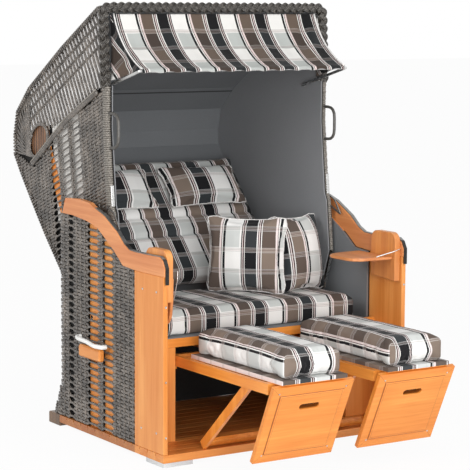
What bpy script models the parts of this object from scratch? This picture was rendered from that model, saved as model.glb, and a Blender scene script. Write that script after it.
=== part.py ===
"""A two-seat hooded beach chair: a wicker basket with a bench and two slide-out footrests, and a hood that
reclines on two bolts and carries an awning, a back cushion and two headrest pillows.

Chair coordinates: x is across, with 0 in the middle; y runs back from the front face of the posts; z is height.
The left side is at -x. One empty, the chair, shifts it all: the origin then lies under the middle of its box."""

import math

import bmesh
import bpy
from mathutils import Matrix, Vector
from mathutils.bvhtree import BVHTree

# Clearances between neighbouring solids
GAP = 0.0003
PIVOT_PLAY = 0.0005
CUT_OVERRUN = 0.010
WELD = 0.00001

# Eased edges
BOARD_EDGE = 0.002
PANEL_EDGE = 0.001
ARM_EDGE = 0.0015
ROUNDED_EDGE = 0.003

# Lower basket: overall
CHAIR_WIDTH = 1.100
POST_THICKNESS = 0.019
POST_DEPTH = 0.210
ARM_HEIGHT = 0.700
BASKET_SETBACK = 0.0115
BASKET_FLARE = 0.062
FLARE_HEIGHT = 0.145
WICKER_THICKNESS = 0.016
SIDE_FRAME_THICKNESS = 0.015
REAR_PANEL_TOP = 0.420

# Floor
FLOOR_DEPTH = 0.8085
FLOOR_THICKNESS = 0.029
SHOE_HEIGHT = 0.016
SHOE_LEG = 0.125
SHOE_WIDTH = 0.030
HEEL_WIDTH = 0.080
HEEL_LENGTH = 0.094
SLAT_DEPTH = 0.0576
SLAT_COUNT = 14
SLAT_GROOVE = 0.004
SLAT_GROOVE_DEPTH = 0.010

# Front frame and bench
FRONT_SETBACK = 0.173
FRONT_BOARD_WIDTH = 0.1365
FRONT_BOARD_THICKNESS = 0.017
BENCH_RAIL_THICKNESS = 0.020
BENCH_RAIL_HEIGHT = 0.033
BENCH_RAIL_BOTTOM = 0.404
BENCH_BOARD_THICKNESS = 0.0047
BENCH_REAR_CLEARANCE = 0.152
BENCH_SIDE_CLEARANCE = 0.0055
REAR_BEARER_DEPTH = 0.024
REAR_BEARER_HEIGHT = 0.032

# Armrests, their steel strips and the cheek boards
ARM_WIDTH = 0.021
ARM_REAR_SETBACK = 0.020
ARM_RISE = 0.225
ARM_NOSE = 0.007
STRIP_THICKNESS = 0.003
STRIP_WIDTH = 0.014
STRIP_DROP = 0.060
STRIP_LENGTH_SHARE = 0.40
CHEEK_THICKNESS = 0.026
CHEEK_DEPTH = 0.1525
CHEEK_FRONT = 0.0105
CHEEK_BELOW_TABLE = 0.096
CHEEK_HEIGHT = 0.189
CHEEK_CORNER_SHARE = 0.22
CHEEK_REAR_RISE_SHARE = 0.06

# Carry handles on the sides
HANDLE_BLOCK_LENGTH = 0.168
HANDLE_BLOCK_HEIGHT = 0.0475
HANDLE_BLOCK_DEPTH = 0.024
HANDLE_BLOCK_FRONT = 0.436
HANDLE_BLOCK_BOTTOM = 0.320
GRIP_RADIUS = 0.0085
GRIP_REACH = 0.034
GRIP_KNEE_SHARE = 0.55
GRIP_RISE = 0.018
GRIP_OVERHANG = 0.022
GRIP_SLOPE = 0.013

# Hood: a closed outline swept across the chair, turning on two bolts
HOOD_SIDE_PLAY = 0.0087
HOOD_FRONT = 0.423
HOOD_DEPTH = 0.867
HOOD_BOTTOM = 0.418
HOOD_HEIGHT = 1.261
SHELL_THICKNESS = 0.018
HOOD_SIDE_THICKNESS = 0.016
LINING_THICKNESS = 0.008
TRIM_WIDTH = 0.034
TRIM_PROUD = 0.003
RIM_RADIUS = 0.0185
PIVOT_SETBACK = 0.144
PIVOT_RISE = 0.0545
BOLT_RADIUS = 0.008
COLLAR_RADIUS = 0.020
HOOD_HANDLE_RADIUS = 0.006
HOOD_HANDLE_REACH = 0.066
HOOD_HANDLE_LENGTH = 0.130
HOOD_HANDLE_BOTTOM = 1.132
LATCH_THICKNESS = 0.004
LATCH_BAR = 0.007
LATCH_LENGTH = 0.118
LATCH_HEIGHT = 0.050
LATCH_Y = 0.500
LATCH_Z = 0.880
LATCH_BOSS_RADIUS = 0.006
LATCH_SLOPE = -22.0
LATCH_CORNER_SHARES = (0.35, 0.85)
LATCH_HOLE_SHARES = (0.40, 0.80)

# Awning
AWNING_PIVOT_Y = 0.605
AWNING_PIVOT_Z = 1.345
AWNING_BAR_Y = 0.3045
AWNING_BAR_Z = 1.425
BOW_RADIUS = 0.006
BOW_SIDE_CLEARANCE = 0.010
CLOTH_THICKNESS = 0.003
CLOTH_SAG = 0.036
CLOTH_EDGE_SAG_SHARE = 0.5
CLOTH_SCALLOP_SHARE = 0.08
CLOTH_EDGE_CLEARANCE = 0.012

# Tables and their stays
TABLE_FRONT = 0.025
TABLE_REACH = 0.180
TABLE_LENGTH = 0.215
TABLE_THICKNESS = 0.012
TABLE_TOP = 0.700
TABLE_HINGE_GAP = 0.0005
TABLE_ROUND_SHARES = (5, 0.35)
STAY_RADIUS = 0.002
STAY_INSET = 0.0747
STAY_FRONT = 0.005
STAY_RISE = 0.0277
STAY_FOLD = 14.5

# Footrests
PANEL_INNER = 0.058
PANEL_WIDTH = 0.342
RAIL_INSET = 0.008
PANEL_HEIGHT = 0.3215
PANEL_THICKNESS = 0.018
PANEL_TILT = 24.9
PANEL_FRONT = -0.4925
PANEL_BORDER = 0.034
PANEL_FIELD_PROUD = 0.004
SLOT_LENGTH = 0.085
SLOT_HEIGHT = 0.022
SLOT_DROP = 0.078
RAIL_THICKNESS = 0.018
RAIL_HEIGHT = 0.038
RAIL_TOP = 0.370
RAIL_REAR = 0.235
RAIL_FRONT = -0.440
GUIDE_THICKNESS = 0.018
GUIDE_LIP = 0.014
GUIDE_LIP_HEIGHT = 0.012
GUIDE_PLAY = 0.0008
FOOT_BOARD_THICKNESS = 0.016
FOOT_BOARD_INSET = 0.032
FOOT_BOARD_REAR = 0.105
LEG_WIDTH = 0.034
LEG_THICKNESS = 0.014
LEG_PIVOT_Y = -0.2835
LEG_PIVOT_Z = 0.338
LEG_TOE_Y = 0.022
LEG_SIDE_CLEARANCE = 0.0006
LEG_TOE_CLEARANCE = 0.0128
LEG_TIE_WIDTH = 0.035

# Cushions
SEAT_CUSHION_TOP = 0.530
SEAT_CUSHION_OVERHANG = 0.025
SEAT_CUSHION_SIDE_GAP = 0.018
BACK_LEAN = 2.24
BACK_LENGTH = 0.650
BACK_THICKNESS = 0.072
BACK_CUSHION_SIDE_GAP = 0.006
HEADREST_WIDTH = 0.400
HEADREST_HEIGHT = 0.235
HEADREST_THICKNESS = 0.085
HEADREST_CENTRE = 0.215
HEADREST_RISE = 0.450
HEADREST_GAP = 0.010
PILLOW_HEIGHT = 0.330
PILLOW_THICKNESS = 0.120
LEFT_PILLOW_WIDTH = 0.345
LEFT_PILLOW_X = 0.100
LEFT_PILLOW_Y = 0.448
LEFT_PILLOW_TURN = -44.4
LEFT_PILLOW_LEAN = 86.0
RIGHT_PILLOW_WIDTH = 0.280
RIGHT_PILLOW_X = 0.336
RIGHT_PILLOW_Y = 0.435
RIGHT_PILLOW_TURN = 11.0
RIGHT_PILLOW_LEAN = 77.0
FOOT_CUSHION_WIDTH = 0.262
FOOT_CUSHION_LENGTH = 0.595
FOOT_CUSHION_THICKNESS = 0.094
# Each padded block: its crown, how far its sides draw in, and how thick its edge is, as shares
SEAT_SHAPE_SHARES = (0.10, 0.02, 0.50)
BACK_SHAPE_SHARES = (0.10, 0.02, 0.55)
FOOT_SHAPE_SHARES = (0.10, 0.03, 0.60)
HEADREST_DRAW_IN_SHARE = 0.07
PILLOW_DRAW_IN_SHARE = 0.05
SETTLE_REACH = 0.040

# The rim's lower end and its top, and the back cushion's foot, as shares of the hood's depth and height
RIM_LOW_SHARES = (0.0923, 0.7518)
RIM_TOP_SHARES = (0.1096, 0.9849)
BACK_FOOT_SHARES = (0.3114, 0.1098)

# Places worked out from the sizes above
BASKET_DEPTH = FLOOR_DEPTH - BASKET_SETBACK
ARM_LENGTH = BASKET_DEPTH + ARM_NOSE - ARM_REAR_SETBACK
BENCH_BOARD_REAR = BASKET_DEPTH - BENCH_REAR_CLEARANCE
SEAT_CUSHION_REAR = BENCH_BOARD_REAR + SEAT_CUSHION_OVERHANG
FOOT_CUSHION_FRONT = FOOT_BOARD_REAR - FOOT_CUSHION_LENGTH
RIM_LOW_SETBACK = HOOD_FRONT + RIM_LOW_SHARES[0] * HOOD_DEPTH
RIM_TOP_SETBACK = HOOD_FRONT + RIM_TOP_SHARES[0] * HOOD_DEPTH
RIM_LOW_END = HOOD_BOTTOM + RIM_LOW_SHARES[1] * HOOD_HEIGHT
RIM_HIGH = HOOD_BOTTOM + RIM_TOP_SHARES[1] * HOOD_HEIGHT
PIVOT_Y, PIVOT_Z = HOOD_FRONT + PIVOT_SETBACK, HOOD_BOTTOM + PIVOT_RISE
CHEEK_BOTTOM = TABLE_TOP - CHEEK_BELOW_TABLE
HALF = CHAIR_WIDTH / 2
FLOOR_TOP = SHOE_HEIGHT + GAP + FLOOR_THICKNESS
POST_INNER = HALF - POST_THICKNESS
WEAVE_INNER = HALF - WICKER_THICKNESS
FRAME_OUTER = WEAVE_INNER - GAP
FRAME_INNER = FRAME_OUTER - SIDE_FRAME_THICKNESS
HOOD_HALF_WIDTH = FRAME_INNER - HOOD_SIDE_PLAY
ARM_INNER = HALF - ARM_WIDTH
CHEEK_OUTER = ARM_INNER - GAP
CHEEK_INNER = CHEEK_OUTER - CHEEK_THICKNESS
HOOD_SIDE_OUTER = HOOD_HALF_WIDTH - TRIM_PROUD
HOOD_SIDE_INNER = HOOD_SIDE_OUTER - HOOD_SIDE_THICKNESS
SIDE_LINING_OUTER = HOOD_SIDE_INNER - GAP
SIDE_LINING_INNER = SIDE_LINING_OUTER - LINING_THICKNESS
BENCH_HALF = SIDE_LINING_INNER - BENCH_SIDE_CLEARANCE
BENCH_TOP = BENCH_RAIL_BOTTOM + BENCH_RAIL_HEIGHT + GAP + BENCH_BOARD_THICKNESS
SEAT_CUSHION_HALF = SIDE_LINING_INNER - SEAT_CUSHION_SIDE_GAP
BACK_CUSHION_HALF = SIDE_LINING_INNER - BACK_CUSHION_SIDE_GAP
CHAIR_FRONT = PANEL_FRONT
CHAIR_REAR = HOOD_FRONT + HOOD_DEPTH
SIDES = {"left": -1, "right": 1}

# The outer line of roof and back, from the front of the roof to the lower end of the back, as shares of the hood's
# depth and height from its lower front corner
HOOD_BACK_SHARES = [
    (0.132, 0.989), (0.165, 0.988), (0.505, 0.8635), (0.840, 0.727), (0.969, 0.6455),
    (1.000, 0.565), (0.998, 0.502), (0.927, 0.441), (0.819, 0.358), (0.683, 0.258), (0.510, 0.1435),
]
# The rest of the hood's side: under the pivot and up its front edge, as shares of the same
HOOD_FRONT_SHARES = [
    (0.250, 0.0214), (0.204, 0.000), (0.123, 0.000), (0.095, 0.0175), (0.000, 0.208),
    (0.0245, 0.369), (0.0415, 0.393), (0.075, 0.625), (0.0727, 0.7518),
]
# The smooth bar across the hood's side, as shares of the same
TRIM_SHARES = [(0.160, 0.732), (0.452, 0.635), (0.743, 0.505), (0.800, 0.480)]
# The armrest's upper line, rear to front, and its lower line, front to rear, as shares of its length and rise
ARM_TOP_SHARES = [
    (0.966, 0.978), (0.829, 1.000), (0.720, 0.969), (0.665, 0.893), (0.574, 0.796), (0.446, 0.569),
    (0.381, 0.393), (0.329, 0.311), (0.258, 0.300), (0.116, 0.304), (0.046, 0.311), (0.019, 0.258), (0.000, 0.142),
]
ARM_BOTTOM_SHARES = [
    (0.000, 0.000), (0.272, 0.000), (0.389, 0.031), (0.476, 0.249), (0.566, 0.427),
    (0.643, 0.576), (0.742, 0.649), (0.902, 0.702), (1.000, 0.702),
]


# Scene, collections and materials
for old in list(bpy.data.objects):
    bpy.data.objects.remove(old, do_unlink=True)
chair_parts = bpy.data.collections.new("hooded_beach_chair")
helpers = bpy.data.collections.new("cutters_and_helpers")
for collection in (chair_parts, helpers):
    bpy.context.scene.collection.children.link(collection)


def make_material(name, colour, roughness, metallic=0.0):
    material = bpy.data.materials.new(name)
    material.use_nodes = True
    shader = material.node_tree.nodes["Principled BSDF"]
    shader.inputs["Base Color"].default_value = (*colour, 1.0)
    shader.inputs["Roughness"].default_value = roughness
    shader.inputs["Metallic"].default_value = metallic
    return material


WOOD = make_material("oiled_wood", (0.72, 0.33, 0.09), 0.45)
WICKER = make_material("dark_wicker", (0.075, 0.065, 0.055), 0.40)
LINING = make_material("grey_lining", (0.12, 0.125, 0.13), 0.85)
CHECK_CLOTH = make_material("check_cloth", (0.45, 0.42, 0.40), 0.90)
STEEL = make_material("dark_steel", (0.16, 0.17, 0.18), 0.35, 1.0)
BRIGHT_STEEL = make_material("bright_steel", (0.65, 0.66, 0.67), 0.25, 1.0)
WHITE_PLASTIC = make_material("white_plastic", (0.85, 0.85, 0.84), 0.35)
GREY_PLASTIC = make_material("pale_grey_plastic", (0.62, 0.64, 0.65), 0.45)


# Placing and joining
def chair_position(obj):
    """An object's origin in chair coordinates."""
    place = Vector((0, 0, 0))
    while obj is not None and obj is not chair:
        place += obj.location
        obj = obj.parent
    return place


def add_empty(name, at, parent=None):
    empty = bpy.data.objects.new(name, None)
    chair_parts.objects.link(empty)
    empty.parent = parent
    empty.location = Vector(at) - (chair_position(parent) if parent else Vector((0, 0, 0)))
    return empty


def add_object(name, data, at, parent, material, collection=chair_parts):
    obj = bpy.data.objects.new(name, data)
    collection.objects.link(obj)
    obj.parent = parent
    obj.location = Vector(at) - chair_position(parent)
    data.materials.append(material)
    return obj


def mesh_from(name, bm):
    bmesh.ops.recalc_face_normals(bm, faces=bm.faces)
    mesh = bpy.data.meshes.new(name)
    bm.to_mesh(mesh)
    bm.free()
    return mesh


def make_helper(obj):
    """Takes an object out of the model: it only shapes another one."""
    chair_parts.objects.unlink(obj)
    helpers.objects.link(obj)
    obj.hide_render = True
    obj.display_type = "WIRE"


def as_mesh(obj):
    """The mesh object of a curve, its caps welded, in the curve's place."""
    bpy.context.view_layer.update()
    graph = bpy.context.evaluated_depsgraph_get()
    mesh = bpy.data.meshes.new_from_object(obj.evaluated_get(graph))
    bm = bmesh.new()
    bm.from_mesh(mesh)
    bmesh.ops.remove_doubles(bm, verts=bm.verts, dist=WELD)
    bmesh.ops.recalc_face_normals(bm, faces=bm.faces)
    bm.to_mesh(mesh)
    bm.free()
    name, parent, matrix = obj.name, obj.parent, obj.matrix_world.copy()
    bpy.data.objects.remove(obj, do_unlink=True)
    solid = bpy.data.objects.new(name, mesh)
    chair_parts.objects.link(solid)
    solid.parent = parent
    solid.matrix_world = matrix
    return solid


def combine(base, others, operation):
    for other in others:
        step = base.modifiers.new(f"{operation.lower()}_{other.name}", "BOOLEAN")
        step.operation = operation
        step.object = other
        make_helper(other)
    return base


def soften(obj, width, segments=1):
    """Eases the edges of a board."""
    bevel = obj.modifiers.new("eased_edges", "BEVEL")
    bevel.width = width
    bevel.segments = segments
    bevel.limit_method = "ANGLE"
    bevel.angle_limit = math.radians(40)
    return obj


# Shapes
def add_board(name, low, high, parent, material, edge=0.0):
    """A box between two corners."""
    low, high = Vector(low), Vector(high)
    bm = bmesh.new()
    bmesh.ops.create_cube(bm, size=1)
    bmesh.ops.scale(bm, vec=high - low, verts=bm.verts)
    board = add_object(name, mesh_from(name, bm), (low + high) / 2, parent, material)
    return soften(board, edge) if edge else board


def flat_curve(name, points, thickness):
    curve = bpy.data.curves.new(name, "CURVE")
    curve.dimensions = "2D"
    curve.fill_mode = "BOTH"
    curve.extrude = thickness / 2
    spline = curve.splines.new("POLY")
    spline.points.add(len(points) - 1)
    for point, (a, b) in zip(spline.points, points):
        point.co = (a, b, 0, 1)
    spline.use_cyclic_u = True
    return curve


def add_side_plate(name, outline, x_low, x_high, origin, parent, material):
    """A flat outline in y and z, from x_low to x_high thick, with its origin at the given y and z."""
    y, z = origin
    shifted = [(a - y, b - z) for a, b in outline]
    curve = flat_curve(name, shifted, x_high - x_low)
    plate = add_object(name, curve, ((x_low + x_high) / 2, y, z), parent, material)
    plate.rotation_euler = (math.pi / 2, 0, math.pi / 2)
    return as_mesh(plate)


def add_flat_plate(name, outline, z_low, z_high, origin, parent, material):
    """A flat outline in x and y, from z_low to z_high, with its origin at the given x, y and z."""
    shifted = [(a - origin[0], b - origin[1]) for a, b in outline]
    curve = flat_curve(name, shifted, z_high - z_low)
    plate = as_mesh(add_object(name, curve, (origin[0], origin[1], (z_low + z_high) / 2), parent, material))
    lift = Matrix.Translation((0, 0, (z_low + z_high) / 2 - origin[2]))
    plate.data.transform(lift)
    plate.location.z -= (z_low + z_high) / 2 - origin[2]
    return plate


def add_tube(name, points, radius, origin, parent, material, closed=False):
    """A round bar along points given in chair coordinates."""
    curve = bpy.data.curves.new(name, "CURVE")
    curve.dimensions = "3D"
    curve.bevel_depth = radius
    curve.bevel_resolution = 2
    curve.use_fill_caps = True
    spline = curve.splines.new("POLY")
    spline.points.add(len(points) - 1)
    for point, place in zip(spline.points, points):
        point.co = (*(Vector(place) - Vector(origin)), 1)
    spline.use_cyclic_u = closed
    return add_object(name, curve, origin, parent, material)


def add_turned(name, profile, origin, parent, material):
    """A profile of (radius, x) pairs turned about an axis along x."""
    bm = bmesh.new()
    verts = [bm.verts.new((x - origin[0], 0, radius)) for radius, x in profile]
    for a, b in zip(verts, verts[1:]):
        bm.edges.new((a, b))
    mesh = bpy.data.meshes.new(name)
    bm.to_mesh(mesh)
    bm.free()
    turned = add_object(name, mesh, origin, parent, material)
    screw = turned.modifiers.new("turned", "SCREW")
    screw.axis = "X"
    screw.steps = screw.render_steps = 16
    screw.use_merge_vertices = True
    screw.merge_threshold = WELD
    return turned


def rounded_path(points, radius, steps=4):
    """The points of a bent bar: each inner corner becomes an arc of about this radius."""
    points = [Vector(point) for point in points]
    path = [points[0]]
    for before, corner, after in zip(points, points[1:], points[2:]):
        into, out = (before - corner).normalized(), (after - corner).normalized()
        for i in range(steps + 1):
            t = i / steps
            path.append(corner + into * radius * (1 - t) ** 2 + out * radius * t**2)
    path.append(points[-1])
    return path


def inset_line(line, distance):
    """The open line moved sideways, to the right of its direction, with mitred corners."""
    points = [Vector(point) for point in line]
    moved = []
    for i, point in enumerate(points):
        normals = []
        for a, b in ((i - 1, i), (i, i + 1)):
            if a >= 0 and b < len(points):
                run = (points[b] - points[a]).normalized()
                normals.append(Vector((run.y, -run.x)))
        mitre = sum(normals, Vector((0, 0))).normalized()
        moved.append(point + mitre * distance / mitre.dot(normals[0]))
    return [tuple(point) for point in moved]


def mirrored(low, high, side):
    """The x range of a box that is drawn for the right side, on either side."""
    return (low, high) if side > 0 else (-high, -low)


# Soft shapes, each from a coarse cage
def cushion_cage(size, cuts, crown, draw_in, edge_share):
    """A padded block: crowned above and below, its sides drawn in between the corners."""
    bm = bmesh.new()
    bmesh.ops.create_cube(bm, size=2)
    bmesh.ops.subdivide_edges(bm, edges=bm.edges, cuts=cuts, use_grid_fill=True)
    for vert in bm.verts:
        u, v, w = vert.co
        fullness = edge_share + (1 - edge_share) * (1 - u**4) * (1 - v**4)
        vert.co.x = (u * size[0] / 2) * (1 - draw_in * (1 - v**2) * abs(w))
        vert.co.y = (v * size[1] / 2) * (1 - draw_in * (1 - u**2) * abs(w))
        vert.co.z = w * (size[2] / 2) * (fullness + crown * (1 - u**2) * (1 - v**2)) / (1 + crown)
    return bm


def pillow_cage(size, cuts, draw_in):
    """A knife-edged pillow: fat in the middle, thin at its seam, with pointed corners."""
    bm = bmesh.new()
    bmesh.ops.create_cube(bm, size=2)
    bmesh.ops.subdivide_edges(bm, edges=bm.edges, cuts=cuts, use_grid_fill=True)
    seam_share = 0.12
    for vert in bm.verts:
        u, v, w = vert.co
        fullness = seam_share + (1 - seam_share) * math.sqrt(max(0.0, (1 - u**4) * (1 - v**4)))
        vert.co.x = (u * size[0] / 2) * (1 - draw_in * (1 - v**2))
        vert.co.y = (v * size[1] / 2) * (1 - draw_in * (1 - u**2))
        vert.co.z = w * (size[2] / 2) * fullness
    return bm


def add_soft(name, bm, frame, parent, material):
    """A cage set in place by a matrix in chair coordinates, with one level of subdivision."""
    mesh = mesh_from(name, bm)
    mesh.transform(Matrix(frame.to_3x3()).to_4x4())
    soft = add_object(name, mesh, frame.to_translation(), parent, material)
    rounding = soft.modifiers.new("rounded", "SUBSURF")
    rounding.levels = rounding.render_levels = 1
    for face in mesh.polygons:
        face.use_smooth = True
    return soft


def world_surface(obj, graph):
    """An object's evaluated points and faces in world space."""
    evaluated = obj.evaluated_get(graph)
    mesh = evaluated.to_mesh()
    points = [evaluated.matrix_world @ vert.co for vert in mesh.vertices]
    faces = [tuple(face.vertices) for face in mesh.polygons]
    evaluated.to_mesh_clear()
    return points, faces


def settle(piece, support_name, direction):
    """Slides a soft piece along a direction, to its support, until one gap is left between them."""
    direction = Vector(direction)
    bpy.context.view_layer.update()
    graph = bpy.context.evaluated_depsgraph_get()
    points, faces = world_surface(piece, graph)
    ground = BVHTree.FromPolygons(*world_surface(bpy.data.objects[support_name], graph))
    apart, touching = -SETTLE_REACH, SETTLE_REACH
    while touching - apart > GAP / 4:
        middle = (apart + touching) / 2
        moved = BVHTree.FromPolygons([point + direction * middle for point in points], faces)
        if moved.overlap(ground):
            touching = middle
        else:
            apart = middle
    piece.location += direction * (apart - GAP)
    bpy.context.view_layer.update()


# Places
def hood_point(share):
    return (HOOD_FRONT + share[0] * HOOD_DEPTH, HOOD_BOTTOM + share[1] * HOOD_HEIGHT)


def arm_point(share):
    return (-ARM_NOSE + share[0] * ARM_LENGTH, ARM_HEIGHT + share[1] * ARM_RISE)


chair = add_empty("chair", (0, -(CHAIR_FRONT + CHAIR_REAR) / 2, 0))
hood = add_empty("hood_pivot", (0, PIVOT_Y, PIVOT_Z), chair)
awning = add_empty("awning_pivot", (0, AWNING_PIVOT_Y, AWNING_PIVOT_Z), hood)


# Lower basket
def build_floor():
    floor = add_board(
        "floor_boards", (-HALF, 0, SHOE_HEIGHT + GAP), (HALF, FLOOR_DEPTH, FLOOR_TOP), chair, WOOD
    )
    grooves = []
    for i in range(1, SLAT_COUNT):
        y = i * SLAT_DEPTH
        if y + SLAT_GROOVE > FLOOR_DEPTH:
            break
        low = (-HALF - CUT_OVERRUN, y - SLAT_GROOVE / 2, FLOOR_TOP - SLAT_GROOVE_DEPTH)
        high = (HALF + CUT_OVERRUN, y + SLAT_GROOVE / 2, FLOOR_TOP + CUT_OVERRUN)
        grooves.append(add_board(f"slat_groove_{i}", low, high, chair, WOOD))
    combine(floor, grooves, "DIFFERENCE")
    for name, side in SIDES.items():
        outline = [
            (side * a, b)
            for a, b in (
                (HALF, 0), (HALF, SHOE_LEG), (HALF - SHOE_WIDTH, SHOE_LEG), (HALF - SHOE_WIDTH, SHOE_WIDTH),
                (HALF - SHOE_LEG, SHOE_WIDTH), (HALF - SHOE_LEG, 0),
            )
        ]
        add_flat_plate(f"corner_shoe_{name}", outline, 0, SHOE_HEIGHT, (side * HALF, 0, 0), chair, GREY_PLASTIC)
        x_low, x_high = mirrored(HALF - HEEL_WIDTH, HALF, side)
        add_board(
            f"rear_heel_{name}", (x_low, FLOOR_DEPTH + GAP, 0), (x_high, FLOOR_DEPTH + HEEL_LENGTH, FLOOR_TOP),
            chair, GREY_PLASTIC, ROUNDED_EDGE,
        )


def basket_rear_line(top):
    """The rear edge of the basket's sides, from its top down to the flared foot."""
    low = FLOOR_TOP + GAP
    return [(BASKET_DEPTH, top), (BASKET_DEPTH, low + FLARE_HEIGHT), (BASKET_DEPTH + BASKET_FLARE, low)]


def arm_lower_line(drop):
    return [(y, z - drop) for y, z in map(arm_point, ARM_BOTTOM_SHARES)]


def side_outline():
    """A side panel's outline: behind the post, under the armrest, and down the flared rear edge."""
    front = POST_DEPTH + GAP
    under_arm = [point for point in arm_lower_line(GAP * 2) if point[0] > front + SHOE_WIDTH]
    rear_top = under_arm[-1][1]
    start = [(front, FLOOR_TOP + GAP), (front, ARM_HEIGHT - GAP * 2)]
    return start + under_arm + basket_rear_line(rear_top)


def build_basket_sides():
    outline = side_outline()
    for name, side in SIDES.items():
        x_low, x_high = mirrored(WEAVE_INNER, HALF, side)
        add_side_plate(f"side_wicker_{name}", outline, x_low, x_high, (POST_DEPTH, FLOOR_TOP), chair, WICKER)
        x_low, x_high = mirrored(FRAME_INNER, FRAME_OUTER, side)
        place = (POST_DEPTH, FLOOR_TOP)
        frame = add_side_plate(f"side_frame_{name}", outline, x_low, x_high, place, chair, WOOD)
        combine(frame, [pivot_hole(f"frame_bolt_hole_{name}", (x_low + x_high) / 2)], "DIFFERENCE")
        x_low, x_high = mirrored(POST_INNER, HALF, side)
        post_top = ARM_HEIGHT - GAP
        add_board(
            f"front_post_{name}", (x_low, 0, FLOOR_TOP + GAP), (x_high, POST_DEPTH, post_top),
            chair, WOOD, BOARD_EDGE,
        )


def pivot_hole(name, x):
    """A round cutter along x at the hood's pivot."""
    radius = BOLT_RADIUS + PIVOT_PLAY
    reach = SIDE_FRAME_THICKNESS + CUT_OVERRUN
    bm = bmesh.new()
    bmesh.ops.create_cone(bm, cap_ends=True, segments=24, radius1=radius, radius2=radius, depth=reach)
    bmesh.ops.rotate(bm, matrix=Matrix.Rotation(math.pi / 2, 3, "Y"), verts=bm.verts)
    return add_object(name, mesh_from(name, bm), (x, PIVOT_Y, PIVOT_Z), chair, WOOD)


def build_rear_panel():
    low = FLOOR_TOP + GAP
    outer = [
        (BASKET_DEPTH, REAR_PANEL_TOP), (BASKET_DEPTH, low + FLARE_HEIGHT), (BASKET_DEPTH + BASKET_FLARE, low),
    ]
    inner = [(y - WICKER_THICKNESS, z) for y, z in reversed(outer)]
    half = FRAME_INNER - GAP
    add_side_plate("rear_wicker", outer + inner, -half, half, (BASKET_DEPTH, low), chair, WICKER)


def build_front_frame():
    rail_low, rail_high = BENCH_RAIL_BOTTOM, BENCH_RAIL_BOTTOM + BENCH_RAIL_HEIGHT
    for name, side in SIDES.items():
        x_low, x_high = mirrored(POST_INNER - GAP - FRONT_BOARD_WIDTH, POST_INNER - GAP, side)
        add_board(
            f"front_board_{name}", (x_low, FRONT_SETBACK, FLOOR_TOP + GAP),
            (x_high, FRONT_SETBACK + FRONT_BOARD_THICKNESS, rail_low - GAP), chair, WOOD, BOARD_EDGE,
        )
    rail_half = POST_INNER - GAP
    rail_rear = FRONT_SETBACK + BENCH_RAIL_THICKNESS
    frame = add_board(
        "bench_frame", (-rail_half, FRONT_SETBACK, rail_low), (rail_half, rail_rear, rail_high), chair, WOOD
    )
    members = [
        add_board(
            "rear_bearer", (-BENCH_HALF, BENCH_BOARD_REAR - REAR_BEARER_DEPTH, rail_high - REAR_BEARER_HEIGHT),
            (BENCH_HALF, BENCH_BOARD_REAR, rail_high), chair, WOOD,
        )
    ]
    guide_front = FRONT_SETBACK + FRONT_BOARD_THICKNESS + GAP
    guide_rear = BASKET_DEPTH - WICKER_THICKNESS - GAP
    lip_low = RAIL_TOP - RAIL_HEIGHT - GUIDE_PLAY - GUIDE_LIP_HEIGHT
    for i, (outer, inward) in enumerate(guide_places()):
        wall = (outer, outer + inward * GUIDE_THICKNESS)
        lip = (outer, outer + inward * (GUIDE_THICKNESS + GUIDE_LIP))
        members.append(
            add_board(
                f"guide_wall_{i}", (min(wall), guide_front, lip_low),
                (max(wall), guide_rear, rail_low + GUIDE_LIP),
                chair, WOOD,
            )
        )
        members.append(
            add_board(
                f"guide_lip_{i}", (min(lip), guide_front, lip_low - GUIDE_PLAY),
                (max(lip), guide_rear, lip_low + GUIDE_LIP_HEIGHT), chair, WOOD,
            )
        )
    combine(frame, members, "UNION")
    board_low = rail_high + GAP
    add_board(
        "bench_board", (-BENCH_HALF, FRONT_SETBACK, board_low),
        (BENCH_HALF, BENCH_BOARD_REAR, board_low + BENCH_BOARD_THICKNESS), chair, LINING,
    )


def guide_places():
    """Each guide's far face in x, and which way its lip reaches under the footrest's rail."""
    places = []
    for side in SIDES.values():
        inner_rail, outer_rail = rail_places()
        places.append((side * (inner_rail - GUIDE_PLAY - GUIDE_THICKNESS), side))
        places.append((side * (outer_rail + RAIL_THICKNESS + GUIDE_PLAY + GUIDE_THICKNESS), -side))
    return places


def rail_places():
    """The inner faces in x of a right footrest's two rails, the inner rail first."""
    return PANEL_INNER + RAIL_INSET, PANEL_INNER + PANEL_WIDTH - RAIL_INSET - RAIL_THICKNESS


build_floor()
build_basket_sides()
build_rear_panel()
build_front_frame()


# Armrests, strips, cheeks and carry handles
def build_armrests():
    top = [arm_point(share) for share in ARM_TOP_SHARES]
    bottom = [arm_point(share) for share in ARM_BOTTOM_SHARES]
    strip_line = strip_path(top)
    for name, side in SIDES.items():
        x_low, x_high = mirrored(ARM_INNER, HALF, side)
        arm = add_side_plate(f"armrest_{name}", top + bottom, x_low, x_high, (0, ARM_HEIGHT), chair, WOOD)
        soften(arm, ARM_EDGE)
        middle = side * (ARM_INNER + HALF) / 2
        outer = inset_line(strip_line, GAP + STRIP_THICKNESS)
        inner = inset_line(strip_line, GAP)
        x_low, x_high = middle - STRIP_WIDTH / 2, middle + STRIP_WIDTH / 2
        add_side_plate(
            f"ratchet_strip_{name}", outer + inner[::-1], x_low, x_high, (0, ARM_HEIGHT), chair, STEEL
        )
        x_low, x_high = mirrored(CHEEK_INNER, CHEEK_OUTER, side)
        cheek = add_side_plate(
            f"cheek_board_{name}", cheek_outline(), x_low, x_high, (CHEEK_FRONT, CHEEK_BOTTOM), chair, WOOD
        )
        soften(cheek, BOARD_EDGE)


def strip_path(top):
    """The strip's seat: along the armrest's upper line from behind the bend to the nose, then down the nose."""
    line = [point for point in top if point[0] < POST_DEPTH + ARM_LENGTH * STRIP_LENGTH_SHARE]
    return line + [(-ARM_NOSE, ARM_HEIGHT + GAP), (-ARM_NOSE, top[-1][1] - STRIP_DROP)]


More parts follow.
